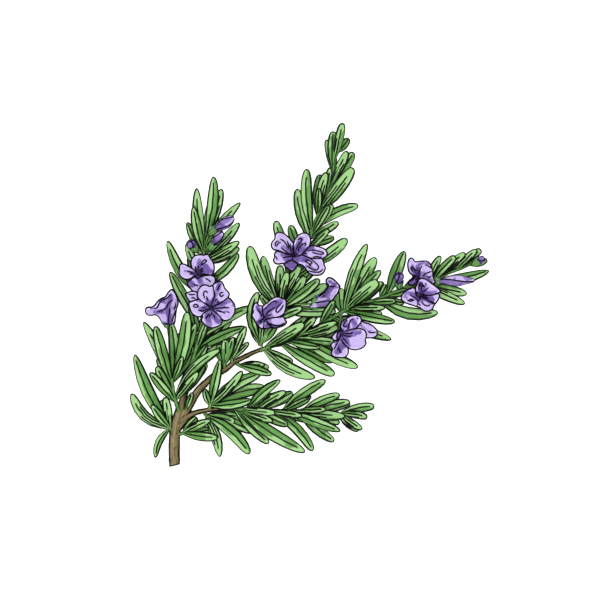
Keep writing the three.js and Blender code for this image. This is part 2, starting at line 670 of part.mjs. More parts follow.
reserveRoute("wood", TRUNK, 2.6);
reserveRoute("wood", UPPER_BRANCH, 1.4);
reserveRoute("wood", LOWER_BRANCH, 1.4);
SHOOTS.forEach((shoot) => reserveRoute(shoot.name, shoot.route, 1.2));
TUFTS.forEach((tuft) => {
  reserveLine(tuft.name, new THREE.Vector3(...tuft.seat), heading(tuft.heading, tuft.rise), [0, 2, 3.5], 1.5);
});
FLOWERS.forEach((flower, i) => reserveFlower(`flower_${i + 1}`, flower));
BUDS.forEach((bud, i) => reserveBud(`bud_${i + 1}`, bud));

const sprig = new THREE.Group();
sprig.add(meshOf("woody_stem", woodSolid(0).subtract(surfaceCut()), WOOD_BROWN, 0.85));
const sprays = [
  ...TUFTS.map((plan) => ({ plan, core: tuftCore, grow: tuftLeaves })),
  ...SHOOTS.map((plan) => ({ plan, core: shootCore, grow: sideLeaves })),
];
function placeAll(spray, leaves) {
  spray.placed.push(...leaves.map((leaf) => placeLeaf(spray.plan.name, leaf)).filter(Boolean));
}
for (const spray of sprays) {
  const { plan, grow } = spray;
  spray.placed = [];
  spray.random = randomSource(plan.seed);
  const leaves = grow(plan, spray.random);
  placeAll(spray, plan.fillers ? [...leaves, ...fillerLeaves(plan, spray.random)] : leaves);
}
for (const spray of sprays) {
  const { plan, grow, random } = spray;
  placeAll(spray, grow({ ...plan, leaves: plan.late ?? [] }, random));
}
for (const { plan, core, placed } of sprays) {
  sprig.add(meshOf(plan.name, spraySolid(core(plan), placed), LEAF_GREEN, 0.6));
}
FLOWERS.forEach((flower, i) => sprig.add(meshOf(`flower_${i + 1}`, corollaSolid(flower), PETAL_LILAC, 0.55)));
BUDS.forEach((bud, i) => sprig.add(meshOf(`bud_${i + 1}`, budSolid(bud), PETAL_LILAC, 0.55)));

export default sprig;
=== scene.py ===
import itertools
import math

import bmesh
import bpy
import numpy as np
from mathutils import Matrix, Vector, geometry, noise


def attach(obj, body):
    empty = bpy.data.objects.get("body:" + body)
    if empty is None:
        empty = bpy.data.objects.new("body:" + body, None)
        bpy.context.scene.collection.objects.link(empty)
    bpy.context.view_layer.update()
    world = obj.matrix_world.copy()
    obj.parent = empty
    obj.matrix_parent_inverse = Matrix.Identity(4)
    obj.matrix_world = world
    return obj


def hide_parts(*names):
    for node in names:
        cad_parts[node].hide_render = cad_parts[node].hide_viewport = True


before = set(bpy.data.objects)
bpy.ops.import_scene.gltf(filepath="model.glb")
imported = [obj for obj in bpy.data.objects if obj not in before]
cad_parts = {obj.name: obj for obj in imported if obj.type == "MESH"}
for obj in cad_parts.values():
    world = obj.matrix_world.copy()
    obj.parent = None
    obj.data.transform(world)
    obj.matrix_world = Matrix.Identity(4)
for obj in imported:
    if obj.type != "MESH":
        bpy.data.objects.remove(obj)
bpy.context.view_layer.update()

# ---- Woody stem ----
# The cut end of a rosemary branch, 5.6 mm thick, forked into two slimmer branches. It grew as one piece, so
# the three limbs are knitted into one skin of grey-brown bark, ridged lengthwise and scarred where old leaves
# fell. It was cut off on a slant, and the cut shows the pale wood.
MM = 0.001  # sizes and places are millimetres
BUTT_HEIGHT = 2.55
TRUNK = [
    [0, -7.4, BUTT_HEIGHT, 2.75], [-0.2, 2, BUTT_HEIGHT, 2.85], [0, 9, BUTT_HEIGHT, 2.8], [1, 15, 2.8, 2.9],
    [2.5, 20.5, 3, 2.6], [3.5, 24.5, 3.4, 2.1], [5, 29.5, 4, 1.7], [5.9, 31.5, 4.4, 1.5],
]
UPPER_BRANCH = [
    [2.5, 17, 3, 2.3], [5.2, 20.5, 3.4, 2.2], [8, 25.2, 4.2, 2.1], [11.2, 30.5, 5, 2], [15, 34.8, 5.6, 1.85],
    [19.5, 38.8, 6.2, 1.7], [26, 42.5, 6.8, 1.5], [30, 45.8, 7.2, 1.4], [34.5, 48.2, 7.5, 1.3],
    [39, 50.5, 7.8, 1.2], [43.6, 52.2, 8, 1.1],
]
LOWER_BRANCH = [
    [2, 13, 3, 2], [6, 17.8, 3.8, 1.7], [9.5, 20, 4.6, 1.5], [13.5, 21.2, 5.3, 1.3], [18, 22, 5.9, 1.2],
    [25.5, 22.8, 6.4, 1.1], [29, 22.6, 6.6, 1],
]
KNIT_SIZE = 0.32  # cells of the skin that joins the limbs
CUT_AT = Vector((0, -6.2, 0)) * MM
CUT_SLANT = math.radians(14)
FIRST_SCAR = 4
SCAR_PAIRS = 28
SCAR_SPACING = 6.5
SCAR_LENGTH = 0.75
SCAR_WIDTH = 0.8
SCAR_TURN = 0.35  # of the first pair, in radians
SCAR_LIFT = 0.12  # share of the limb's radius
RIDGE_HEIGHT = 0.2
COARSE_RIDGE = (0.16, 0.9, 0.9)  # waves in a millimetre, along the limb and across it
FINE_RIDGE = (0.4, 2.2, 2.2)
FULL_GIRTH = 2.4  # thinner limbs have lower ridges
RING_SPACING = 0.5
GRAIN_SHIFT = 60  # between limbs, so that no two show the same cracks


def linear(code):
    """An sRGB hex colour as the linear values that a shader takes."""
    parts = [int(code[i:i + 2], 16) / 255 for i in (1, 3, 5)]
    return tuple(c / 12.92 if c <= 0.04045 else ((c + 0.055) / 1.055) ** 2.4 for c in parts) + (1.0,)


def feed(tree, node, inputs):
    """Gives inputs, by name or in order, a number, a colour, an output, or a node's first live output."""
    for key, value in inputs.items() if isinstance(inputs, dict) else enumerate(inputs):
        if isinstance(value, bpy.types.Node):
            value = next(output for output in value.outputs if output.enabled)
        if isinstance(value, bpy.types.NodeSocket):
            tree.links.new(value, node.inputs[key])
        else:
            node.inputs[key].default_value = value


def add(tree, kind, inputs=(), **settings):
    """A node with its settings and inputs. A kind that isn't given in full is a shader node."""
    made = tree.nodes.new(kind if "Node" in kind else "ShaderNode" + kind)
    for key, value in settings.items():
        setattr(made, key, value)
    feed(tree, made, inputs)
    return made


def smooth_route(points, steps):
    """A smooth line through points that hold x, y, z and any further numbers."""
    p = np.array(points, float)
    p = np.vstack([2 * p[0] - p[1], p, 2 * p[-1] - p[-2]])
    line = []
    for a, b, c, d in zip(p, p[1:], p[2:], p[3:]):
        for u in np.arange(steps) / steps:
            line.append(0.5 * (2 * b + (c - a) * u + (2 * a - 5 * b + 4 * c - d) * u * u
                               + (3 * b - a - 3 * c + d) * u ** 3))
    return np.array(line + [p[-2]])


def travel(line):
    """How far each point of a line lies from its start."""
    return np.concatenate([[0], np.cumsum(np.linalg.norm(np.diff(line, axis=0), axis=1))])


def unit(rows):
    return rows / np.linalg.norm(rows, axis=1)[:, None]


def new_tree(name, sizes):
    """A geometry tree that takes lines and named sizes, with its inputs and its output."""
    tree = bpy.data.node_groups.new(name, "GeometryNodeTree")
    for label, kind in {"Lines": "Geometry", **sizes}.items():
        tree.interface.new_socket(label, in_out="INPUT", socket_type="NodeSocket" + kind)
    tree.interface.new_socket("Piece", in_out="OUTPUT", socket_type="NodeSocketGeometry")
    return tree, add(tree, "NodeGroupInput").outputs, add(tree, "NodeGroupOutput")


def sweep(tree, given, made, lines, section):
    """Ends a tree: a section swept along lines at their own radius, as one smooth piece in its finish."""
    radius = add(tree, "GeometryNodeInputRadius")
    body = add(tree, "GeometryNodeCurveToMesh", {"Curve": lines, "Profile Curve": section, "Scale": radius,
                                                 "Fill Caps": True})
    body = add(tree, "GeometryNodeSetShadeSmooth", {"Geometry": body})
    body = add(tree, "GeometryNodeRealizeInstances", {"Geometry": body})
    body = add(tree, "GeometryNodeSetMaterial", {"Geometry": body, "Material": given["Finish"]})
    feed(tree, made, {"Piece": body})
    return tree


def keep_as_mesh(source, name):
    """The finished form of an object as a plain mesh on an object of its own."""
    graph = bpy.context.evaluated_depsgraph_get()
    mesh = bpy.data.meshes.new_from_object(source.evaluated_get(graph), preserve_all_data_layers=True,
                                           depsgraph=graph)
    bpy.data.objects.remove(source)
    mesh.name = name
    return show(name, mesh)


def show(name, data):
    """An object of the scene that holds a mesh, a curve, a lamp or a camera."""
    shown = bpy.data.objects.new(name, data)
    bpy.context.collection.objects.link(shown)
    return shown


def grow(name, lines, tree, sizes):
    """Sends lines through a tree. A line's points hold x, y, z, radius in millimetres and tilt in radians."""
    curve = bpy.data.curves.new(name + "_lines", "CURVE")
    curve.dimensions = "3D"
    curve.twist_mode = "Z_UP"
    for line in lines:
        spline = curve.splines.new("POLY")
        spline.points.add(len(line) - 1)
        for point, (x, y, z, radius, tilt) in zip(spline.points, line):
            point.co = (x * MM, y * MM, z * MM, 1)
            point.radius = radius * MM
            point.tilt = tilt
    source = show(name + "_lines", curve)
    modifier = source.modifiers.new("grown", "NODES")
    modifier.node_group = tree
    for socket in tree.interface.items_tree:
        if socket.in_out == "INPUT" and socket.name in sizes:
            modifier[socket.identifier] = sizes[socket.name]
    return keep_as_mesh(source, name)


def set_values(mesh, name, values, kind="FLOAT"):
    """Stores one value for each point of a mesh, for a material to read."""
    layer = mesh.attributes.new(name, kind, "POINT")
    field = "vector" if kind == "FLOAT_VECTOR" else "value"
    layer.data.foreach_set(field, np.ravel(values).astype(np.float32))


def new_finish(name):
    """A material with its node tree and its shader."""
    finish = bpy.data.materials.new(name)
    finish.use_nodes = True
    return finish, finish.node_tree, finish.node_tree.nodes["Principled BSDF"]


def coated(tree, colour, coats, edge="LINEAR"):
    """Coats of colour over each other, as (value, where it starts, where it is full, strength, hex)."""
    for value, start, full, strength, code in coats:
        mask = add(tree, "MapRange", [value, start, full, 0.0, strength], interpolation_type=edge)
        colour = add(tree, "Mix", {0: mask, 6: colour, 7: linear(code)}, data_type="RGBA")
    return colour


# A round stalk runs along each line, with soft ridges down its sides.
tree, given, made = new_tree("stalk", {"Sides": "Int", "Ridge": "Float", "Finish": "Material"})
RIDGES = 4
ring = add(tree, "GeometryNodeCurvePrimitiveCircle", {"Resolution": given["Sides"], "Radius": 1.0})
turn = add(tree, "GeometryNodeSplineParameter").outputs["Factor"]
wave = add(tree, "Math", [turn, RIDGES * 2 * math.pi], operation="MULTIPLY")
wave = add(tree, "Math", [wave], operation="COSINE")
swell = add(tree, "Math", [wave, given["Ridge"], 1.0], operation="MULTIPLY_ADD")
place = add(tree, "GeometryNodeInputPosition")
across = add(tree, "SeparateXYZ", [place]).outputs["X"]
ring = add(tree, "GeometryNodeStoreNamedAttribute", {"Geometry": ring, "Name": "across", "Value": across},
           data_type="FLOAT")
ridged = add(tree, "VectorMath", {0: place, "Scale": swell}, operation="SCALE")
ring = add(tree, "GeometryNodeSetPosition", {"Geometry": ring, "Position": ridged})
reach = add(tree, "GeometryNodeSplineParameter").outputs
reach_mm = add(tree, "Math", [reach["Length"], 1 / MM], operation="MULTIPLY")
line = given["Lines"]
for label, value in (("reach", reach_mm), ("along", reach["Factor"])):
    line = add(tree, "GeometryNodeStoreNamedAttribute", {"Geometry": line, "Name": label, "Value": value},
               data_type="FLOAT")
stalk_tree = sweep(tree, given, made, line, ring)

limb_routes = [smooth_route(limb, 6) for limb in (TRUNK, UPPER_BRANCH, LOWER_BRANCH)]
limb_lines = [[(*p, 0.0) for p in route] for route in limb_routes]
limbs = grow("woody_limbs", limb_lines, stalk_tree, {"Sides": 24, "Ridge": 0.0})
knit = limbs.modifiers.new("knit", "REMESH")
knit.mode = "VOXEL"
knit.voxel_size = KNIT_SIZE * MM
knit.use_smooth_shade = True
settle = limbs.modifiers.new("settle", "SMOOTH")
settle.factor = 0.5
settle.iterations = 5
woody_stem = keep_as_mesh(limbs, "woody_stem_bark")

# The slanting cut through the butt, closed with a face of its own.
cut_normal = Vector((-math.sin(CUT_SLANT), math.cos(CUT_SLANT), 0))
sawn = bmesh.new()
sawn.from_mesh(woody_stem.data)
everything = sawn.verts[:] + sawn.edges[:] + sawn.faces[:]
cut = bmesh.ops.bisect_plane(sawn, geom=everything, plane_co=CUT_AT, plane_no=cut_normal, clear_inner=True)
rim = [e for e in cut["geom_cut"] if isinstance(e, bmesh.types.BMEdge)]
for face in bmesh.ops.contextual_create(sawn, geom=rim)["faces"]:
    face.material_index = 1
    face.smooth = False
bmesh.ops.recalc_face_normals(sawn, faces=sawn.faces[:])
sawn.to_mesh(woody_stem.data)
sawn.free()

# Where each point of the bark lies on its limb: distance along it, and sideways and upwards from its axis.
points = np.array([v.co for v in woody_stem.data.vertices]) / MM
outwards = np.array([v.normal for v in woody_stem.data.vertices])
nearest = np.full(len(points), np.inf)
grain = np.zeros((len(points), 3))
girth = np.zeros(len(points))
for number, route in enumerate(limb_routes):
    axis = route[:, :3]
    ahead = unit(np.gradient(axis, axis=0))
    left = unit(np.stack([-ahead[:, 1], ahead[:, 0], np.zeros(len(ahead))], 1))
    up = np.cross(ahead, left)
    away = np.linalg.norm(points[:, None] - axis[None], axis=2) - route[None, :, 3]
    at = away.argmin(axis=1)
    closest = away[np.arange(len(points)), at]
    mine = closest < nearest
    nearest[mine] = closest[mine]
    offset = (points - axis[at])[mine]
    at = at[mine]
    grain[mine] = np.stack([travel(axis)[at] + (offset * ahead[at]).sum(1) + GRAIN_SHIFT * number,
                            (offset * left[at]).sum(1), (offset * up[at]).sum(1)], 1)
    girth[mine] = route[at, 3]

# Old leaves stood in crossed pairs, so each pair of scars is a quarter turn from the last.
scars = np.zeros(len(points))
around = np.arctan2(grain[:, 2], grain[:, 1])
for number in range(SCAR_PAIRS):
    quarter = number % 2 * math.pi / 2 + SCAR_TURN
    for side in (0, math.pi):
        bow = np.abs((around - quarter - side + math.pi) % (2 * math.pi) - math.pi) * girth
        step = grain[:, 0] - FIRST_SCAR - number * SCAR_SPACING
        scars = np.maximum(scars, np.exp(-(step / SCAR_LENGTH) ** 2 - (bow / SCAR_WIDTH) ** 2))
lift = scars * SCAR_LIFT * girth
for i, place in enumerate(grain):
    coarse, fine = (noise.noise(Vector(place * pitch)) for pitch in (COARSE_RIDGE, FINE_RIDGE))
    ridge = coarse * 1.1 - max(0.0, 0.25 - abs(fine)) * 1.6 + 0.25
    lift[i] += RIDGE_HEIGHT * ridge * min(girth[i] / FULL_GIRTH, 1)
cut_at, off_cut = np.array(CUT_AT) / MM, np.array(cut_normal)
on_cut = np.abs((points - cut_at) @ off_cut) < 1e-4
points += outwards * lift[:, None] * np.where(on_cut, 0.4, 1.0)[:, None]
slip = (points - cut_at) @ off_cut
points -= np.where(on_cut, slip, 0)[:, None] * off_cut
points[:, 2] = np.maximum(points[:, 2], 0.0)
woody_stem.data.vertices.foreach_set("co", (points * MM).ravel().astype(np.float32))
set_values(woody_stem.data, "grain", grain, "FLOAT_VECTOR")
set_values(woody_stem.data, "scar", scars)
# How far a point lies in from the limb's two flanks and from the cut, for the near-black line of painted
# shade that edges the bark.
from_flank = girth - np.abs(grain[:, 1]) + 3 * (grain[:, 2] < -0.5 * girth)
set_values(woody_stem.data, "shade_line_inset", np.minimum(from_flank, 0.1 + np.abs(slip)))

# Rosemary bark: dry and dull, so it shows no gloss, and split lengthwise into long dark cracks between paler
# strips. One side of each limb is coated a darker olive as painted shade, and a near-black line of painted
# shade edges it.
bark, tree, skin = new_finish("rosemary bark")
scar, shade_line_inset = (add(tree, "Attribute", attribute_name=label).outputs["Fac"] for label in ("scar", "shade_line_inset"))
where = add(tree, "Attribute", attribute_name="grain").outputs["Vector"]
strips, fibres, cracks = (
    add(tree, "TexNoise", {"Scale": 1.0, "Detail": detail, "Roughness": coarseness, "Vector": add(
        tree, "Mapping", {"Vector": where, "Scale": scale, "Location": start})})
    for scale, start, detail, coarseness in (
        ((0.07, 0.9, 0.9), (0, 0, 0), 4.0, 0.6), ((0.2, 3.6, 3.6), (0, 0, 0), 3.0, 0.5),
        ((0.045, 0.6, 0.6), (7.0, 3.0, 1.0), 2.0, 0.5)))
crack = add(tree, "Math", [cracks, 0.5], operation="SUBTRACT")
crack = add(tree, "Math", [crack], operation="ABSOLUTE")
crack = add(tree, "MapRange", [crack, 0.006, 0.02, 1.0, 0.0])
# Painted shade: the right-hand side of each limb, looking from the butt, is coated a darker olive.
sideways = add(tree, "SeparateXYZ", [where]).outputs["Y"]
sideways = add(tree, "Math", [strips, 2.0, sideways], operation="MULTIPLY_ADD")
colour = coated(tree, linear("#776b4b"), (
    (strips, 0.4, 0.62, 1, "#908264"), (sideways, 1.3, 0.7, 0.8, "#6a6039"),
    (fibres, 0.56, 0.7, 0.45, "#c0b191"), (scar, 0.35, 0.75, 0.75, "#5f5238"), (crack, 0, 1, 1, "#40351f")))
# Painted shade: a near-black line along the limbs' flanks, as seen from above, and round the cut.
colour = coated(tree, colour, [(shade_line_inset, 0.9, 0.72, 1, "#12100a")], "SMOOTHSTEP")
relief = add(tree, "Math", [fibres, crack], operation="SUBTRACT")
bump = add(tree, "Bump", {"Height": relief, "Strength": 0.7, "Distance": 0.12 * MM})
feed(tree, skin, {"Base Color": colour, "Normal": bump, "Roughness": 0.88, "Specular IOR Level": 0.1})

# Fresh-cut wood: pale, damp and matt, with fine rings round a dark pith and a thin dark line of bark.
cut_wood, tree, skin = new_finish("fresh-cut rosemary wood")
where = add(tree, "Attribute", attribute_name="grain").outputs["Vector"]
flat = add(tree, "VectorMath", [where, (0, 1, 1)], operation="MULTIPLY")
depth = add(tree, "VectorMath", [flat], operation="LENGTH")
ripple = add(tree, "TexNoise", {"Vector": flat, "Scale": 1.4, "Detail": 2.0})
rings = add(tree, "Math", [ripple, 0.5, depth], operation="MULTIPLY_ADD")
rings = add(tree, "Math", [rings, 2 * math.pi / RING_SPACING], operation="MULTIPLY")
rings = add(tree, "Math", [rings], operation="SINE")
rings = add(tree, "MapRange", [rings, 0.2, 1.0, 0.0, 0.6])
colour = coated(tree, linear("#d8c7a0"), (
    (rings, 0, 1, 1, "#b09a70"), (depth, 0.55, 0.35, 1, "#6f5c3c"), (depth, 2.2, 2.5, 1, "#5a4a32")))
bump = add(tree, "Bump", {"Height": rings, "Strength": 0.4, "Distance": 0.05 * MM})
feed(tree, skin, {"Base Color": colour, "Normal": bump, "Roughness": 0.8})

woody_stem.data.materials.clear()
woody_stem.data.materials.append(bark)
woody_stem.data.materials.append(cut_wood)
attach(woody_stem, "root")
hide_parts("woody_stem")

# ---- Corollas ----
# Open rosemary flowers, drawn out of a short tube into thin, frilled lobes of soft lilac tissue that lap over
# each other. Each lobe is cut to its own outline and pressed in along its veins, drawn near-black as painted
# shade, and gets the thickness of a petal with its tube. Two flowers are seen from the side, so theirs is a
# bell with two walls.
TUBE_LENGTH = 7  # from the foot of the calyx to the throat
PETAL_THICKNESS = 0.26
# The throat, the way it faces as [heading, elevation], how far the lobes open from the axis, the shoot and
# the distance along it where the stalk leaves, and the room that the lobes need as [angle, reach, width].
FLOWERS = [
    {"throat": [-4.8, 69.8, 13.5], "facing": [106, 22], "opening": 42, "shoot": "fan_shoot", "station": 33,
     "lobes": [[16, 13.5, 9.5], [88, 11, 8], [144, 11, 8], [196, 12.5, 8.5], [286, 12.5, 10]]},
    {"throat": [12.2, 90.2, 17.6], "facing": [150, 76], "opening": 78, "shoot": "left_shoot", "station": 60,
     "lobes": [[69, 10, 10], [5, 8.5, 7], [-68, 9.5, 7.5], [-118, 9, 7.5], [174, 9.6, 8]]},
    {"throat": [18.8, 73.5, 20], "facing": [-20, 78], "opening": 80, "shoot": "left_shoot", "station": 40,
     "lobes": [[107, 10.5, 9], [58, 12, 9], [-2, 12, 10], [-86, 10.8, 9.5], [177, 10.8, 9.5]]},
    {"throat": [59.8, 99.5, 18.4], "facing": [95, 66], "opening": 78, "shoot": "middle_shoot", "station": 44,
     "lobes": [[133, 13, 9], [68, 11.5, 8.5], [6, 16.5, 8.5], [-30, 16.5, 8.5], [-160, 10.5, 7]]},
    {"throat": [45.4, 67.6, 19.2], "facing": [60, 74], "opening": 76, "shoot": "middle_shoot", "station": 12,
     "lobes": [[52, 12.5, 9], [0, 10.8, 8.5], [-100, 7, 9], [143, 8, 7], [108, 9.5, 8]]},
    {"throat": [74, 79.6, 15.4], "facing": [44, 24], "opening": 38, "shoot": "middle_shoot", "station": 24,
     "lobes": [[42, 11, 8.5], [114, 12, 9], [186, 10.5, 8], [258, 9.5, 7.5], [330, 10.5, 8]]},
    {"throat": [83.7, 60, 18.4], "facing": [-60, 72], "opening": 78, "shoot": "right_shoot", "station": 45,
     "lobes": [[88, 9, 7], [50, 12, 8], [7, 17, 8], [-28, 13, 10.5], [-108, 11.5, 8.5]]},
    {"throat": [121.4, 90, 16.4], "facing": [80, 62], "opening": 72, "shoot": "right_shoot", "station": 76,
     "lobes": [[106, 9.4, 8], [56, 10, 8], [8, 9, 8], [-58, 6, 6], [172, 6, 6]]},
    {"throat": [123, 79.8, 20.4], "facing": [-80, 76], "opening": 80, "shoot": "right_shoot", "station": 83,
     "lobes": [[168, 10.4, 8.5], [98, 8, 8], [20, 9.6, 8.5], [-48, 9, 8], [-118, 9, 8]]},
]
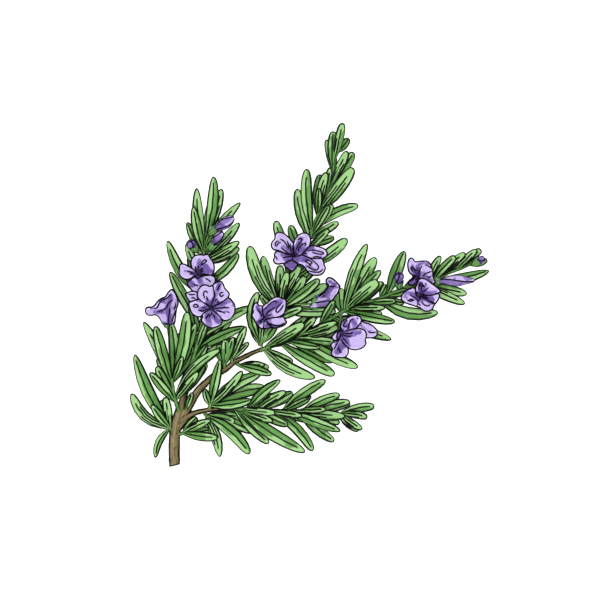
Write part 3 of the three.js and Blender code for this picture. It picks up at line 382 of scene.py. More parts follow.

# Each corolla as cut lobes, the lowest first, with a tint from 0, palest, to 1, deepest violet, and as the
# veins that fold it, drawn near-black as painted shade, both as [x, y, x, y ...] in plan from the throat. Its
# strokes of violet and painted shade are given as [x, y, x, y, half width], some with a strength of their
# own.
LOBES = [
    {"cut": [
        (0, [-0.8, -4.8, -1.6, -2.7, -2.8, -1, -4.4, -0.1, -6.3, -0.4, -8.2, 0, -9.1, 1.6, -8.7, 3.1, -7.4,
            3.7, -5.7, 3.7, -4, 5, -2.6, 6.8, -0.8, 8.1, 1, 8.8, 2.4, 10.8, 4, 12.4, 5.4, 11.4, 6.4, 9.2, 7.1,
            6.8, 7, 5, 6.4, 3.2, 5.9, 0.7, 5.6, -1.8, 5.2, -4.2, 3.8, -5.6, 1.8, -6.2, 0, -5.8]),
    ], "veins": [
        [-5, 3, -3.3, 3.3, -2.3, 5, -1.5, 6.4, -0.2, 7.3, 1.8, 8.2, 3.8, 10.1],
        [-3, 1.5, -0.4, 2.1, 1.4, 3.6, 2.4, 5.4, 3.3, 6.4, 4.6, 7.2],
        [3, 3.2, 2.9, 0.7, 2.3, -2.2, 2.5, -4.6], [5.9, 2.2, 5.2, 0.2, 4.2, -2.6, 4.2, -3.6],
        [-0.4, -4.9, 1.2, -4.5, 3, -5, 4.5, -4.6], [6, 6, 5.7, 3.8, 5, 2.2],
    ], "violet_and_shade_strokes": [
        [3.8, 9.2, 2.3, 3.2, 1.2], [2.3, 2.2, 2.8, -3.8, 1.2], [-0.2, -5.4, 5.2, -5.4, 1.2],
        [-0.8, 7.1, 0.8, 6.6, 1.3], [-4.2, 1.2, -1.2, 1.6, 1],
    ]},
    {"cut": [
        (0.25, [-1, -1.4, -3.3, -3, -4.8, -4.2, -5.2, -5.1, -4.3, -6.3, -3.5, -7.4, -2.6, -8.5, -1, -9.1, 0.8,
            -9.4, 3.8, -7.7, 7.3, -6.1, 8.6, -4.6, 8.9, -3.4, 8.6, -2.1, 7.6, -1.3, 6.2, -0.9, 4.2, -1.1, 2.4,
            -1.3, 0.8, -1]),
        (0.05, [-1.2, 1.4, -2.9, 2.5, -4.9, 3.7, -6.5, 4.5, -8.2, 4.7, -8.9, 3.9, -9.1, 1.9, -9.3, 0.1, -8.7,
            -1.2, -7, -2.5, -5.7, -2.9, -4.2, -2.8, -2.9, -2.2, -1.2, -1]),
        (0.2, [-1, 0.8, -2.8, 3, -3.3, 5, -3, 6.6, -2.2, 8, -1, 8.9, 1.1, 9.2, 3, 9, 4.8, 9.5, 5.6, 8.8, 6.3,
            7.5, 7.4, 6.1, 8.1, 4.4, 8.3, 2.5, 8, 0.8, 7.1, -0.8, 5.6, -0.6, 3.6, -0.4, 1.4, -0.2]),
    ], "veins": [
        [-1.1, 3.6, -1, 2, -0.3, 0.7], [0.6, 3.9, 0.3, 2.3, -0.1, 0.9],
        [1.7, 3.5, 2.5, 5.9, 3.6, 6.7, 4.5, 6.1, 3.4, 5.2, 2.2, 4], [1, 1.2, 2, 1.9, 3, 2.3],
        [1.6, 0.6, 2.8, 1.3], [1.7, 2.2, 2.6, 2.7], [-5.2, 1.3, -3.6, 0.6, -1.8, -0.1],
        [-4.1, -0.4, -2.3, -0.3], [-1.6, -2, -0.8, -1.8, -0.2, -2.9, 0.6, -2.2, 2, -1.6, 3, -1.4],
        [3.9, -2.4, 5.4, -3.3, 6.8, -4.3], [-1.6, -4.9, -1.4, -5.8, -0.4, -5.9, 0.4, -6.4],
    ], "violet_and_shade_strokes": [
        [-0.6, -0.4, 1, 0.6, 1.7, 1.7], [0.2, 1.4, 0.4, 2.4, 1.4], [2.8, 1.2, 6.8, 1, 1.4],
        [2.4, 1, 6, 0.8, 0.9, 1.6], [4.2, 3.6, 5, 2.4, 1.4, 1.5], [0.8, 6.6, 0.8, 3.8, 1],
        [-6.2, 1.2, -2.8, 0.6, 0.8], [-4, -4, -2.6, -5.8, 1.2], [1.2, -3.8, 2.2, -5.2, 1.2],
    ]},
    {"cut": [
        (0, [-6.4, 3.9, -7.7, 3.2, -9.9, 2.5, -10.9, 3.6, -12.1, 5.8, -12.4, 6.5, -11.2, 7.1, -9.3, 7.8, -6.5,
            7.3, -5.6, 5.9]),
        (0.25, [1.2, -0.1, 2.6, 1.1, 5.4, 2.5, 7, 3.7, 8.3, 4.5, 9.6, 4.1, 10.7, 2.8, 11.6, 1.4, 11.9, -0.5,
            11.8, -2.3, 11, -4.2, 9.5, -5.8, 7.3, -6.7, 5.7, -6.1, 4.1, -4.4, 2.3, -2.6, 1, -1.3]),
        (0.3, [0.8, -1.3, 2.3, -2.6, 4.1, -4.4, 5.4, -6.3, 5.1, -8.3, 3.5, -9.5, 1.3, -10.2, -0.5, -10.1,
            -2.4, -9.1, -3.8, -7.8, -4.6, -6.4, -4, -5.1, -4.1, -3.3, -2.4, -2.3, -0.8, -1.2]),
        (0.1, [-0.6, -0.9, -2.4, -2.3, -4, -3.4, -4.6, -4.5, -6.2, -4.8, -7.7, -4.2, -9.3, -2.7, -10.2, -0.5,
            -10.7, 1.7, -9.9, 2.5, -7.7, 3.3, -5.5, 3.9, -3.7, 2.4, -1.4, 0.7]),
        (0.12, [-0.6, 0.5, -3.7, 2.4, -5.9, 4.2, -6.5, 5.8, -6.2, 8, -4.8, 10.1, -3, 10.9, -1.5, 10.6, -0.4,
            10.1, 0.8, 10.6, 1.8, 9.1, 2.2, 6.5, 1.4, 3.5, 0.4, 1.1]),
        (0.2, [0.3, 0.9, 1.1, 3.1, 1.9, 5.9, 1.5, 8.3, 1, 10.5, 2.3, 11.8, 3.8, 12.5, 5.2, 12.6, 6.2, 11.2, 7,
            9.2, 8.2, 7.9, 9.1, 6.6, 8.8, 5.2, 8.2, 4.5, 5.4, 2.5, 3.2, 1.3, 1.2, 0.3]),
    ], "veins": [
        [-10.9, 6.3, -9.2, 6.1, -7.7, 6.3], [-9.6, 4.4, -8.6, 4.7, -7.8, 4.2],
        [-2.9, 4.2, -3.5, 6.4, -3, 7.7, -2.2, 7.8, -1.3, 6.9], [-2.1, 5.5, -1.2, 3.1],
        [4.6, 11.1, 3.8, 9.5, 3.4, 8.2], [2.4, 6.7, 1.8, 4.7, 1, 2.9, 0.1, 0.8],
        [6.2, 7.3, 4.9, 7, 4.5, 5.9, 5.4, 5.3, 6.5, 6.2], [2, 2.8, 3.6, 4.2], [2.9, 2.1, 4.2, 3],
        [1.8, 0.7, 2.8, 1.3], [1.2, -0.8, 4.5, -0.5, 7, -0.2, 9.2, -0.3], [2.4, -1.5, 4.8, -2.2, 6.9, -2.7],
        [8.2, -2.2, 9.2, -2.9], [-8.5, 1.1, -7.1, 1.3, -6.2, 0.5, -7.1, -0.1, -8.2, 0.2, -8.5, 1],
        [-6.2, -1.6, -3.7, -1.8, -1.6, -0.7], [-5.4, -2, -3.2, -2.1], [-4.3, -0.2, -2.6, -0.2],
        [-2.1, 2, -1.2, 0.4], [-0.4, -3.1, -1.6, -4.5, -2.5, -5.9], [1.2, -3.5, 2.1, -5.9],
        [0, -3.7, -0.6, -5.1], [0.5, -2.1, 0.5, -4.1],
    ], "violet_and_shade_strokes": [
        [0, 0, 0.2, -0.2, 1.8], [2.6, 6.9, 4.2, 11.1, 1.3], [1, 3.1, 2.8, 6.1, 1], [4.2, 1.5, 10.2, 3.5, 1.1],
        [10.8, 4.3, 11.4, 0.5, 0.8], [-1.6, -4.5, -0.8, -8.7, 1.6], [3.8, -7.1, 1.6, -4.5, 1.5],
        [-7.2, 3.7, -5.2, 2.9, 0.8], [-5.4, -0.7, -2.4, -0.5, 0.9], [-1.8, 4.1, -1, 1.5, 0.8],
    ]},
    {"cut": [
        (0.75, [-0.8, -2.6, -3.2, -3.6, -4.6, -4.8, -4.3, -5.6, -2.7, -7.1, -0.9, -8.2, 0.6, -7.4, 1.3, -6,
            2.4, -4.8, 1.6, -3.6]),
        (0.4, [2.8, -0.6, 6.2, 2.2, 8, 4.2, 10.5, 4.3, 13.3, 3.6, 15.1, 2.9, 16.4, 1.5, 16.6, -0.1, 15.3,
            -1.5, 14.1, -2.1, 11.7, -2, 9.6, -2, 7, -1.4]),
        (0.25, [0.2, -0.2, -2.8, 0, -5, 0.8, -6.8, 1.4, -8.4, 1.6, -9.4, 0.4, -9.4, -1.2, -9.9, -2.8, -9.2,
            -4.2, -7.7, -4.7, -5.9, -4.4, -4.4, -4.4, -2.8, -3.4, -0.2, -2.6, 0.8, -1.4]),
        (0.2, [1.8, -0.8, 4.1, -0.2, 6.6, -1.1, 9.2, -2, 11.7, -2, 14.1, -2.1, 14.7, -3.5, 15.2, -5.3, 15.7,
            -6.6, 15.2, -8.2, 14, -9.6, 11.9, -10.3, 9.4, -10.1, 7.6, -9.2, 6.6, -7.8, 5.3, -6.2, 4.3, -5.3,
            2.4, -4.6, 0.8, -3.6, -0.4, -2.8, -0.6, -1.4]),
        (0.1, [-0.5, 0.2, -2.8, 0.2, -5.2, 1.1, -7.6, 2, -9.5, 2.4, -10.8, 3.6, -11, 5.4, -10.2, 6.9, -9.3,
            7.9, -9.1, 9.7, -8, 11, -6.3, 11, -4.2, 10.1, -2.4, 8.5, -0.9, 6.7, 0.1, 5.1, 0.3, 2.9, 0.2,
            0.6]),
        (0.35, [0.6, -0.2, 0.1, 2.9, 0, 5.4, 0.8, 7.6, 2.3, 9.5, 3.9, 10.5, 5.8, 10.7, 7.5, 9.9, 8.3, 8.1,
            8.3, 5.8, 7.2, 3.6, 5.5, 1.7, 3.7, -0.2, 2, -0.8]),
    ], "veins": [
        [-8.4, 3.8, -9, 5.1, -8.6, 6.3, -7.2, 6.9], [-8, 4.4, -7.6, 5.6, -6.2, 6.1],
        [-6.7, 7.8, -4.9, 6.7, -3.4, 4.7, -2.3, 2.7], [-3.3, 6.9, -2.3, 4.5, -1.6, 3],
        [-6.3, 3.5, -4.5, 2, -2.2, 0.6], [-1.6, 5.2, -1.5, 2.4, -0.9, 0.4], [-0.6, 4, -0.4, 1],
        [1.9, 7.4, 3.4, 7.9, 3.9, 7, 2.3, 4.5, 1, 1.7],
        [2.3, 1.2, 2.8, 3.2, 4.1, 4.7, 5.5, 5.6, 6.1, 5, 5.3, 4.2], [1.5, 0.8, 1.8, -0.2],
        [7, 1.7, 9.4, 2.2, 11.9, 1.7, 14.1, 1.2, 14.8, 0.6, 13.7, 0.1, 11.2, 0.5, 9.4, 0.9],
        [4.8, 0.7, 6.6, 0.4], [9.6, -1.4, 11.6, -1, 13.8, -1.6],
        [3.8, -0.3, 7.4, -1.5, 10.4, -3.8, 12, -5.5, 12.2, -7, 10.8, -7.8, 8.7, -7.1, 6.9, -5.8],
        [5.5, -3.1, 7.3, -2.8, 9.1, -4.1, 8.3, -4.8, 6.6, -4, 5.6, -3.3], [7.6, -5.1, 8.8, -5.8],
        [7.1, -8.1, 10.1, -8.7, 12.8, -8.7, 14.7, -7.1], [-5.6, -1.7, -3.8, -1.3, -0.9, -1, 1.4, -1.3],
        [-8.9, -0.8, -8, -2.6], [-4, -4.2, -2.4, -3.1, -0.6, -3],
    ], "violet_and_shade_strokes": [
        [0.2, 1.6, 0.4, 0.8, 2], [-5.8, 0, -1.4, 0, 1], [-5.2, 4, -2.4, 2, 0.8], [3.4, 7.4, 2.2, 2.4, 1.3],
        [-2.8, -2, 6.6, -2.6, 1.4], [-1.2, -5.8, -0.4, -6.6, 1.9], [4.4, 2.2, 9.2, 3.6, 1],
        [13.6, -1, 14.8, -4, 0.8], [6.6, -5.8, 11.2, -7.8, 0.8],
    ]},
    {"cut": [
        (0.15, [-0.1, -0.6, -0.5, -2.6, -0.7, -4.9, 0.6, -4.6, 1.8, -4.7, 3.1, -4.3, 4.6, -4.4, 3.4, -3, 2.2,
            -1.6, 1, -0.6]),
        (0.1, [-0.4, 0.4, -0.2, 2.4, -1, 6.1, -2.8, 6.7, -4, 8.1, -5.1, 7.2, -5.8, 4.9, -5.5, 3.3, -6.2, 1.7,
            -5.1, -0.2, -3.8, -2.4, -2.2, -4.3, -0.8, -5, -0.3, -2.6]),
        (0.05, [0.6, -0.4, 2.6, 0.5, 4.9, 0.8, 8.2, 1.2, 9.6, 0.8, 10.2, -0.7, 10.9, -1.4, 10.3, -2.6, 8.6,
            -3.6, 6.1, -4.3, 4.6, -4.4, 3, -3.3, 1.5, -1.6]),
        (0.3, [-0.1, 0.6, -0.7, 2.6, -0.9, 6, 1.3, 7.9, 3.1, 9.5, 4.9, 10.6, 6.7, 10.8, 8.6, 10.1, 10.4, 9.5,
            10.7, 7.4, 10.4, 5, 9.7, 2.9, 8.2, 1.6, 4.9, 0.7, 2.1, 0.3]),
    ], "veins": [
        [-3.7, 4.9, -2.4, 3.3, -1.2, 1.1], [-3.1, -1.8, -1.8, -0.6, -0.5, 0], [-2.4, -2.3, -1.1, -1.1],
        [-0.5, 4.4, 1, 5.8, 2.7, 7.5, 4.2, 8.6, 5.2, 8.8, 6.3, 8], [0.2, 0.9, 1.6, 3.3, 3.1, 4.4, 5.3, 5.8],
        [1.8, 1.4, 3.4, 2.4], [8.5, 7.9, 6, 5.1, 5.8, 3.6, 6.8, 3.4, 8.5, 5.4, 9.4, 7],
        [0.9, -0.2, 4.9, 0.6, 8.8, 0.8], [2.6, -2.1, 4.2, -3, 6.3, -3.3, 8.5, -2.8, 10.2, -1.7],
        [1, -1.2, 2, -3.4],
    ], "violet_and_shade_strokes": [
        [0.6, 3.6, 8.2, 9.2, 1.5], [-3.6, 5.8, -1.2, 2.8, 0.9], [-2.6, -1.6, 1, 0.4, 1.1],
        [0.6, -3.4, 7.6, -3.8, 0.8], [0, 0, 0.2, 0.2, 1.4],
    ]},
    {"cut": [
        (0.15, [-6.4, -6.3, -5, -4.5, -3.4, -3.4, 0, -2.7, 3, -2.5, 4.4, -3.6, 4.5, -5, 4.3, -6.1, 1.3, -6.2,
            -2.4, -6.3]),
        (0.1, [-4.8, -4, -2.8, -2, -1.2, -0.6, 0.8, 0.7, 2.2, 2.4, 3.1, 3.9, 3, 5, 2.2, 6, 2, 7.1, 2.5, 8,
            3.5, 8.5, 4.9, 8.1, 6.3, 7, 7.7, 5.5, 8.6, 4.4, 8.4, 2.6, 7.4, 0.4, 5.9, -1.3, 4.7, -3, 2, -3.4,
            -1, -3.8]),
    ], "veins": [
        [3.5, 4.1, 5, 4.1, 6.6, 4.2], [-3.5, -3.9, -0.1, -3.6, 3, -3.1, 4.1, -4], [-0.1, -1.4, 1.4, -0.5],
    ], "violet_and_shade_strokes": [
        [3.8, 6.6, 6.2, 5.1, 0.9, 1.5], [5.6, 4.8, 3.9, 2.6, 0.9, 1.5], [4, 2.6, 1.4, -0.2, 0.9, 1.5],
        [-2, -5.1, 4, -5.2, 0.6, 0.7],
    ]},
    {"cut": [
        (0.3, [6.3, 2, 7.9, 4, 9.5, 6.5, 11.3, 5.8, 13.1, 5.3, 14.8, 4.5, 16.3, 3.3, 17.5, 2, 17.7, 0.5, 17.1,
            -1, 15.7, -1.7, 13.8, -1.8, 11.8, -1.6, 8.3, 0]),
        (0, [-0.5, 1.4, -2.3, 1.5, -3.9, 0, -4.9, -1.2, -4.4, -2.4, -3.2, -3.1, -2.1, -2.6, -1.1, -1]),
        (0.35, [-0.8, -1.4, -1.9, -3.4, -3.4, -3.3, -4.9, -4.6, -5.4, -5.9, -4.6, -7.1, -5, -8.7, -5.1, -10,
            -3.9, -11.1, -1.9, -11.4, -0.2, -11.6, 1.3, -11.5, 2.6, -10.5, 3.3, -9, 3.1, -7.2, 2.9, -6.4, 1.9,
            -5.2, 0.6, -3]),
        (0.3, [0.3, 1, -0.4, 2.8, -0.6, 4.5, -0.1, 6, 1.3, 7.3, 2.8, 8.2, 4.3, 9, 6.3, 9.4, 8.3, 9.1, 9.4, 8,
            9.7, 6.8, 9.1, 5.3, 7.8, 3.8, 6.8, 2.7, 4.8, 1.8, 2.3, 1]),
        (0.1, [-1.3, -2.3, -2.4, -2.1, -2.2, 0, -1.4, 1.4, 0.7, 1.9, 2.8, 1.9, 4.8, 2.5, 7.3, 2.8, 9.8, 2.6,
            11.4, 1.8, 12.1, 0.3, 12, -1.5, 11.7, -3, 12.1, -4.5, 11.1, -6.1, 9.5, -7.1, 6.8, -7.7, 4.3, -7.2,
            2.9, -6.5, 1.3, -4.8, -0.1, -3]),
    ], "veins": [
        [5.9, 7.9, 4.3, 6.9, 3.6, 5, 3.3, 3.4, 3, 2.3],
        [2.7, 7.4, 1.5, 6, 0.8, 4.6, 1, 3.9, 1.9, 4, 2.4, 4.4], [13.1, 1.3, 14.7, 0.8, 17.3, 1.1],
        [0.1, 0.8, -0.7, -0.9, -1.4, -1.7], [0.7, 0.5, 3.9, 0.4, 5.4, 0.8], [0.9, -0.6, 2.8, -0.9, 4.7, -1],
        [0.5, -1.6, 1.6, -3, 2.8, -4.7], [-0.2, -2.4, 0.8, -4.1, 2.3, -5.9],
        [-2.1, -4, -2.9, -5.5, -3.9, -7.5], [-1.3, -5.6, -1.9, -7.4, -1.1, -7.6, -0.7, -8.9, 0.2, -8.7],
        [7.3, 8.4, 8.1, 7.6],
    ], "violet_and_shade_strokes": [
        [5.9, 6.6, 6.7, 3.4, 1.4], [-0.5, 2, 0.3, -1.6, 1.4], [9.7, 4.8, 13.7, 2.4, 1.3],
        [1.9, 0.6, 8.7, 1.2, 1.3], [2.3, -0.6, 5.9, 0, 1.2], [2.5, -2.6, 3.9, -5.6, 0.9],
        [-0.1, 0.4, -0.9, -1.4, 0.9, 1.5], [-2.7, -9, 0.3, -5.4, 1.5], [2.9, 4.4, 3.1, 3.6, 0.8],
    ]},
    {"cut": [
        (0.65, [-0.5, -0.4, -1.5, -1.1, -3, -2.6, -4.5, -4, -4.7, -4.8, -3.6, -5.7, -2, -5.4, -0.6, -4, 0.6,
            -2.2, 1, -1]),
        (0.25, [-0.8, -1, -2.6, -0.6, -4.2, 1, -4.7, 3, -4.7, 5.2, -4.1, 7.1, -3.1, 7.9, -2, 7.4, -1.1, 6,
            1.1, 6.3, 3.6, 6.4, 5.2, 6.2, 6.3, 5, 6.6, 3.2, 4.6, 1, 1.6, -1]),
        (0.05, [0.6, -2.4, 0.9, 0.5, 1.5, 2.7, 2.4, 3.8, 3.9, 4.3, 5.3, 3.8, 6.6, 3, 7.4, 2.1, 7.6, 0.5, 7.5,
            -1, 8, -2.6, 8.5, -3.8, 8, -5.1, 6.1, -4.1, 4, -3, 2.4, -2.6]),
    ], "veins": [
        [-2.8, 3.8, -3.1, 2.5, -2.3, 1.2], [-2.7, 3.6, -1.9, 2.4, -1, 1.5], [2.4, -1.3, 4.2, 0.1, 7.2, 1.3],
        [4.4, -0.9, 5.5, -1.8, 6.8, -1.1], [-0.6, -0.6, -2, -2.6, -4, -4], [0.2, -1.4, -1.2, -3.4],
    ], "violet_and_shade_strokes": [
        [-2.7, 2.6, -0.4, 0.4, 1, 1.3], [0.2, 3.6, 0.6, -1.6, 1, 1.5], [0.8, 4.6, 2.8, 5.5, 0.8, 1.5],
        [2.8, 5.5, 5.8, 5, 0.6, 1.3], [-4.2, -4.2, -1.4, -2.5, 1.4], [3.4, -1.8, 7.2, -3.4, 1, 1.2],
    ]},
    {"cut": [
        (0.15, [-0.6, -0.2, -2.6, 0.4, -3.4, 3.2, -5.8, 2.6, -7.8, 1.6, -9.5, -0.4, -9.8, -2.1, -8.6, -3.6,
            -6.6, -4.6, -4.9, -5.2, -2.4, -5.9, -0.8, -6.3, -0.4, -3.8, 0, -1.4]),
        (0.1, [0.2, -1, -1.4, -3.4, -2, -5.9, -0.5, -6.6, 0.8, -7.6, 2.3, -8.3, 4.2, -8.1, 5.6, -7.2, 6.4,
            -5.5, 6.8, -4.4, 4.5, -3.1, 1.6, -1.4]),
        (0.3, [0.8, -0.2, 3, -0.4, 6, -0.1, 8, 0.5, 9, -0.3, 8.8, -1.6, 8.2, -3, 7.3, -4.3, 6.6, -4.7, 4,
            -3.5, 1.4, -1.6]),
        (0.12, [-1, 0.2, -2.3, 0.3, -2.8, 1.7, -2.7, 3.9, -2.1, 5.7, -1.4, 7, -0.2, 7.8, 1.7, 7.6, 3.3, 6.7,
            5.1, 5.3, 7, 3.9, 8.9, 2.5, 9.4, 1.7, 8.6, 0.7, 7, 0.2, 4.5, -0.6, 2.6, -0.4, 1, 0.1]),
    ], "veins": [
        [-1.3, 2, -1.1, 4.2, -0.7, 5.4, 0.1, 5.5, 0.6, 4.4], [2, 5.7, 2.3, 4.5], [-0.1, 1.8, 0.1, 3.8],
        [0.4, 1, 2, 2.1, 3.4, 3.2], [1.6, -2.2, 4.4, -3.4, 7, -4.3],
        [0.2, -3.5, 1.5, -5.1, 3.4, -5.7, 4.4, -5], [-1.4, -4.6, -0.2, -5.6],
        [-7.1, -2.6, -5.6, -3.3, -4.1, -3, -4.8, -2.4, -6.2, -2.6], [-5.5, -0.5, -3, -1.7, -1.3, -3.5],
        [0.4, -1.2, 1.2, -2.2], [-2.4, -0.6, -1, -1.2], [-3.2, 0.2, -1.6, -0.8, -0.2, -2.6],
        [-2, 1.2, -1.4, -0.4, -0.4, -1.4], [0.4, -0.6, 2.4, -1.6, 4, -2],
        [-0.8, 4.8, 0.2, 3.9, 1, 4.5, 1.6, 3.3],
    ], "violet_and_shade_strokes": [
        [-1.6, -0.6, 1.8, -1.2, 1.7, 1.6], [0.2, 0.8, 0.2, 4, 1.1, 1.5], [-0.6, 5, 0.2, 2.6, 1.5],
        [1.6, -1.4, 5.4, -2.4, 1, 1.4], [-8.6, -1.4, -7.2, 1, 0.7], [1.6, 0.2, 7, 0.8, 1.2],
        [2.4, -2.2, 5.4, -4.6, 1], [-7.4, 1.4, -4.8, 0.2, 0.9],
    ]},
]
SIDE_ON = 45  # a flower that faces lower than this, in degrees, is seen from the side


def heading(azimuth, elevation):
    a, e = math.radians(azimuth), math.radians(elevation)
    return np.array([math.cos(e) * math.cos(a), math.cos(e) * math.sin(a), math.sin(e)])


def turn_about(direction, angle):
    """The way out and the side at an angle round a direction."""
    lean = Vector((0, 0, 1)).rotation_difference(Vector(direction))
    out = lean @ Vector((math.cos(angle), math.sin(angle), 0))
    side = lean @ Vector((-math.sin(angle), math.cos(angle), 0))
    return np.array(out), np.array(side)


def grid_faces(rows, columns, first=0, capped=False):
    """Four-sided faces round a tube of points, with its ends closed if it is capped."""
    faces = []
    for i in range(rows - 1):
        for j in range(columns):
            k = (j + 1) % columns
            low, high = first + i * columns, first + (i + 1) * columns
            faces.append([low + j, high + j, high + k, low + k])
    if capped:
        last = first + (rows - 1) * columns
        faces += [list(range(first, first + columns)), list(range(last, last + columns))[::-1]]
    return faces


def new_piece(name, points, faces, values, material):
    """A smooth piece from points in millimetres, with values at its points."""
    mesh = bpy.data.meshes.new(name)
    mesh.from_pydata([tuple(p) for p in np.array(points) * MM], [], faces)
    for label, numbers in values.items():
        set_values(mesh, label, numbers)
    mesh.materials.append(material)
    mesh.shade_smooth()
    return show(name, mesh)


# Rosemary petal: thin, soft and slightly downy, so no sharp gloss forms. Flat patches of lilac and violet
# meet in clear edges. The violet is partly the petal's own and partly painted shade, deepest at the throat
# and beside the veins. A paler band of painted highlight follows the margin, which is edged in near-black
# painted shade.
petal, tree, skin = new_finish("rosemary petal")
depth, rim = (add(tree, "Attribute", attribute_name=label).outputs["Fac"] for label in ("depth", "rim"))
where = add(tree, "TexCoord").outputs["Object"]
clouds = add(tree, "TexNoise", {"Vector": where, "Scale": 1 / (4.5 * MM), "Detail": 1.0, "Distortion": 0.5})
# Deeper violet where depth and clouds are high: painted shade in part, at the throat, beside the folds and in
# the strokes.
violet_and_shade = add(tree, "Math", [clouds, 1.1, depth], operation="MULTIPLY_ADD")
# Painted highlight: a paler band just inside the margin.
margin_highlight = add(tree, "Math", [clouds, -2.6, rim], operation="MULTIPLY_ADD")
colour = coated(tree, linear("#bba9dc"), (
    (margin_highlight, -0.45, -0.6, 0.9, "#d8c7f3"), (violet_and_shade, 0.83, 0.88, 1, "#8570ae"),
    # The last coat is near-black painted shade along the margins, and on buds along each lap and both flanks.
    (violet_and_shade, 1.1, 1.18, 1, "#665092"), (depth, 1.05, 1.25, 1, "#3c2a68"), (rim, 0.5, 0.36, 1, "#120c1e")),
    "SMOOTHSTEP")
cells = add(tree, "TexVoronoi", {"Vector": where, "Scale": 1 / (0.5 * MM)})
bump = add(tree, "Bump", {"Height": cells, "Strength": 0.25, "Distance": 0.06 * MM})
feed(tree, skin, {"Base Color": colour, "Normal": bump, "Roughness": 0.62, "Specular IOR Level": 0.12,
                  "Subsurface Weight": 0.06, "Subsurface Radius": (0.6, 0.4, 1.0),
                  "Subsurface Scale": 0.6 * MM})

# Petal veins and margins: cords of tough tissue, dull, and nearly black with a violet cast as painted shade.
cord, tree, skin = new_finish("petal vein in painted shade")
where = add(tree, "TexCoord").outputs["Object"]
grains = add(tree, "TexNoise", {"Vector": where, "Scale": 1 / (0.8 * MM), "Detail": 2.0})
colour = coated(tree, linear("#06040c"), [(grains, 0, 1, 1, "#120c1e")])
bump = add(tree, "Bump", {"Height": grains, "Strength": 0.3, "Distance": 0.04 * MM})
feed(tree, skin, {"Base Color": colour, "Normal": bump, "Roughness": 0.8, "Specular IOR Level": 0.08})

LOBE_GRID = 0.62
GRID_ROW = 0.866  # between rows, as a share of the grid, so that its triangles are equal
LAYER_STEP = 0.3  # between a lobe and the one that laps over it
FOLD_DEPTH = 0.2
FOLD_WIDTH = 0.45
FRILL_HEIGHT = 0.22
FRILL_REACH = 0.9  # in from the edge of a lobe
PILLOW_HEIGHT = 0.5
PILLOW_REACH = 1.3
THROAT_DEPTH = 1.3  # of the dip where the lobes meet
THROAT_REACH = 1.4
# The strokes of violet and painted shade fade out over this width.
PATCH_EDGE = 0.7  # over which a stain fades out
VEIN_RADIUS = 0.42
VEIN_LIFT = 0.16
BELL_DEPTH = 2.7  # half the depth of a flower that is seen from the side
BELL_REACH = 3.6
BELL_MOUTH = 5.0
BELL_SLOPE = 0.35  # rise towards its mouth
TUBE_SIDES = 24
tube_outline = smooth_route([[1.3, 1.0], [2.6, 1.1], [3.8, 1.15], [4.8, 1.35], [5.5, 1.6]], 3)


def away_from(spots, line):
    """The distance from each spot to the nearest point of a line, and the number of that point."""
    gaps = np.linalg.norm(spots[:, None] - line[None], axis=2)
    return gaps.min(axis=1), gaps.argmin(axis=1)


def within(spots, ring):
    """Which spots lie inside a ring."""
    x, y = spots.T
    inside = np.zeros(len(spots), bool)
    for (x0, y0), (x1, y1) in zip(ring, np.roll(ring, -1, axis=0)):
        if y0 != y1:
            inside ^= ((y0 > y) != (y1 > y)) & (x < (x1 - x0) * (y - y0) / (y1 - y0) + x0)
    return inside


def violet_and_shade_at(spots, strokes):
    """How far each spot lies within the strokes of violet and painted shade: 0 to 1, or up to a stroke's own
    strength.
    """
    coverage = np.zeros(len(spots))
    for x0, y0, x1, y1, half_width, *strength in strokes:
        run = np.array([x1 - x0, y1 - y0])
        from_start = spots - (x0, y0)
        share = np.clip(from_start @ run / (run @ run), 0, 1)
        gap = np.linalg.norm(from_start - share[:, None] * run, axis=1)
        inside = np.clip((half_width - gap) / PATCH_EDGE + 0.5, 0, 1)
        coverage = np.maximum(coverage, inside * (strength[0] if strength else 1))
    return coverage


def lobe_heights(flower, layer, ring, folds, spots, wall=1):
    """How high a lobe lies over the throat at spots in plan."""
    facing = heading(*flower["facing"])
    from_edge, nearest_edge = away_from(spots, ring)
    pressed = FOLD_DEPTH * np.exp(-(away_from(spots, folds)[0] / FOLD_WIDTH) ** 2)
    if flower["facing"][1] < SIDE_ON:
        toward = facing[:2] / np.linalg.norm(facing[:2])
        from_side = away_from(spots, ring[ring @ toward < BELL_MOUTH])[0]
        bulge = BELL_DEPTH * np.sqrt(1 - (1 - np.minimum(from_side / BELL_REACH, 1)) ** 2)
        return BELL_SLOPE * spots @ toward + wall * (bulge - pressed) + LAYER_STEP * layer
    reach = np.linalg.norm(spots, axis=1)
    arch = 0.2 * reach - 0.016 * reach ** 2 - THROAT_DEPTH * np.exp(-reach / THROAT_REACH)
    frill = FRILL_HEIGHT * np.sin(0.5 * nearest_edge + 2.0 * layer) * np.exp(-from_edge / FRILL_REACH)
    pillow = PILLOW_HEIGHT * (1 - np.exp(-from_edge / PILLOW_REACH))
    return -(spots @ facing[:2]) / facing[2] + arch + frill + pillow - pressed + LAYER_STEP * layer


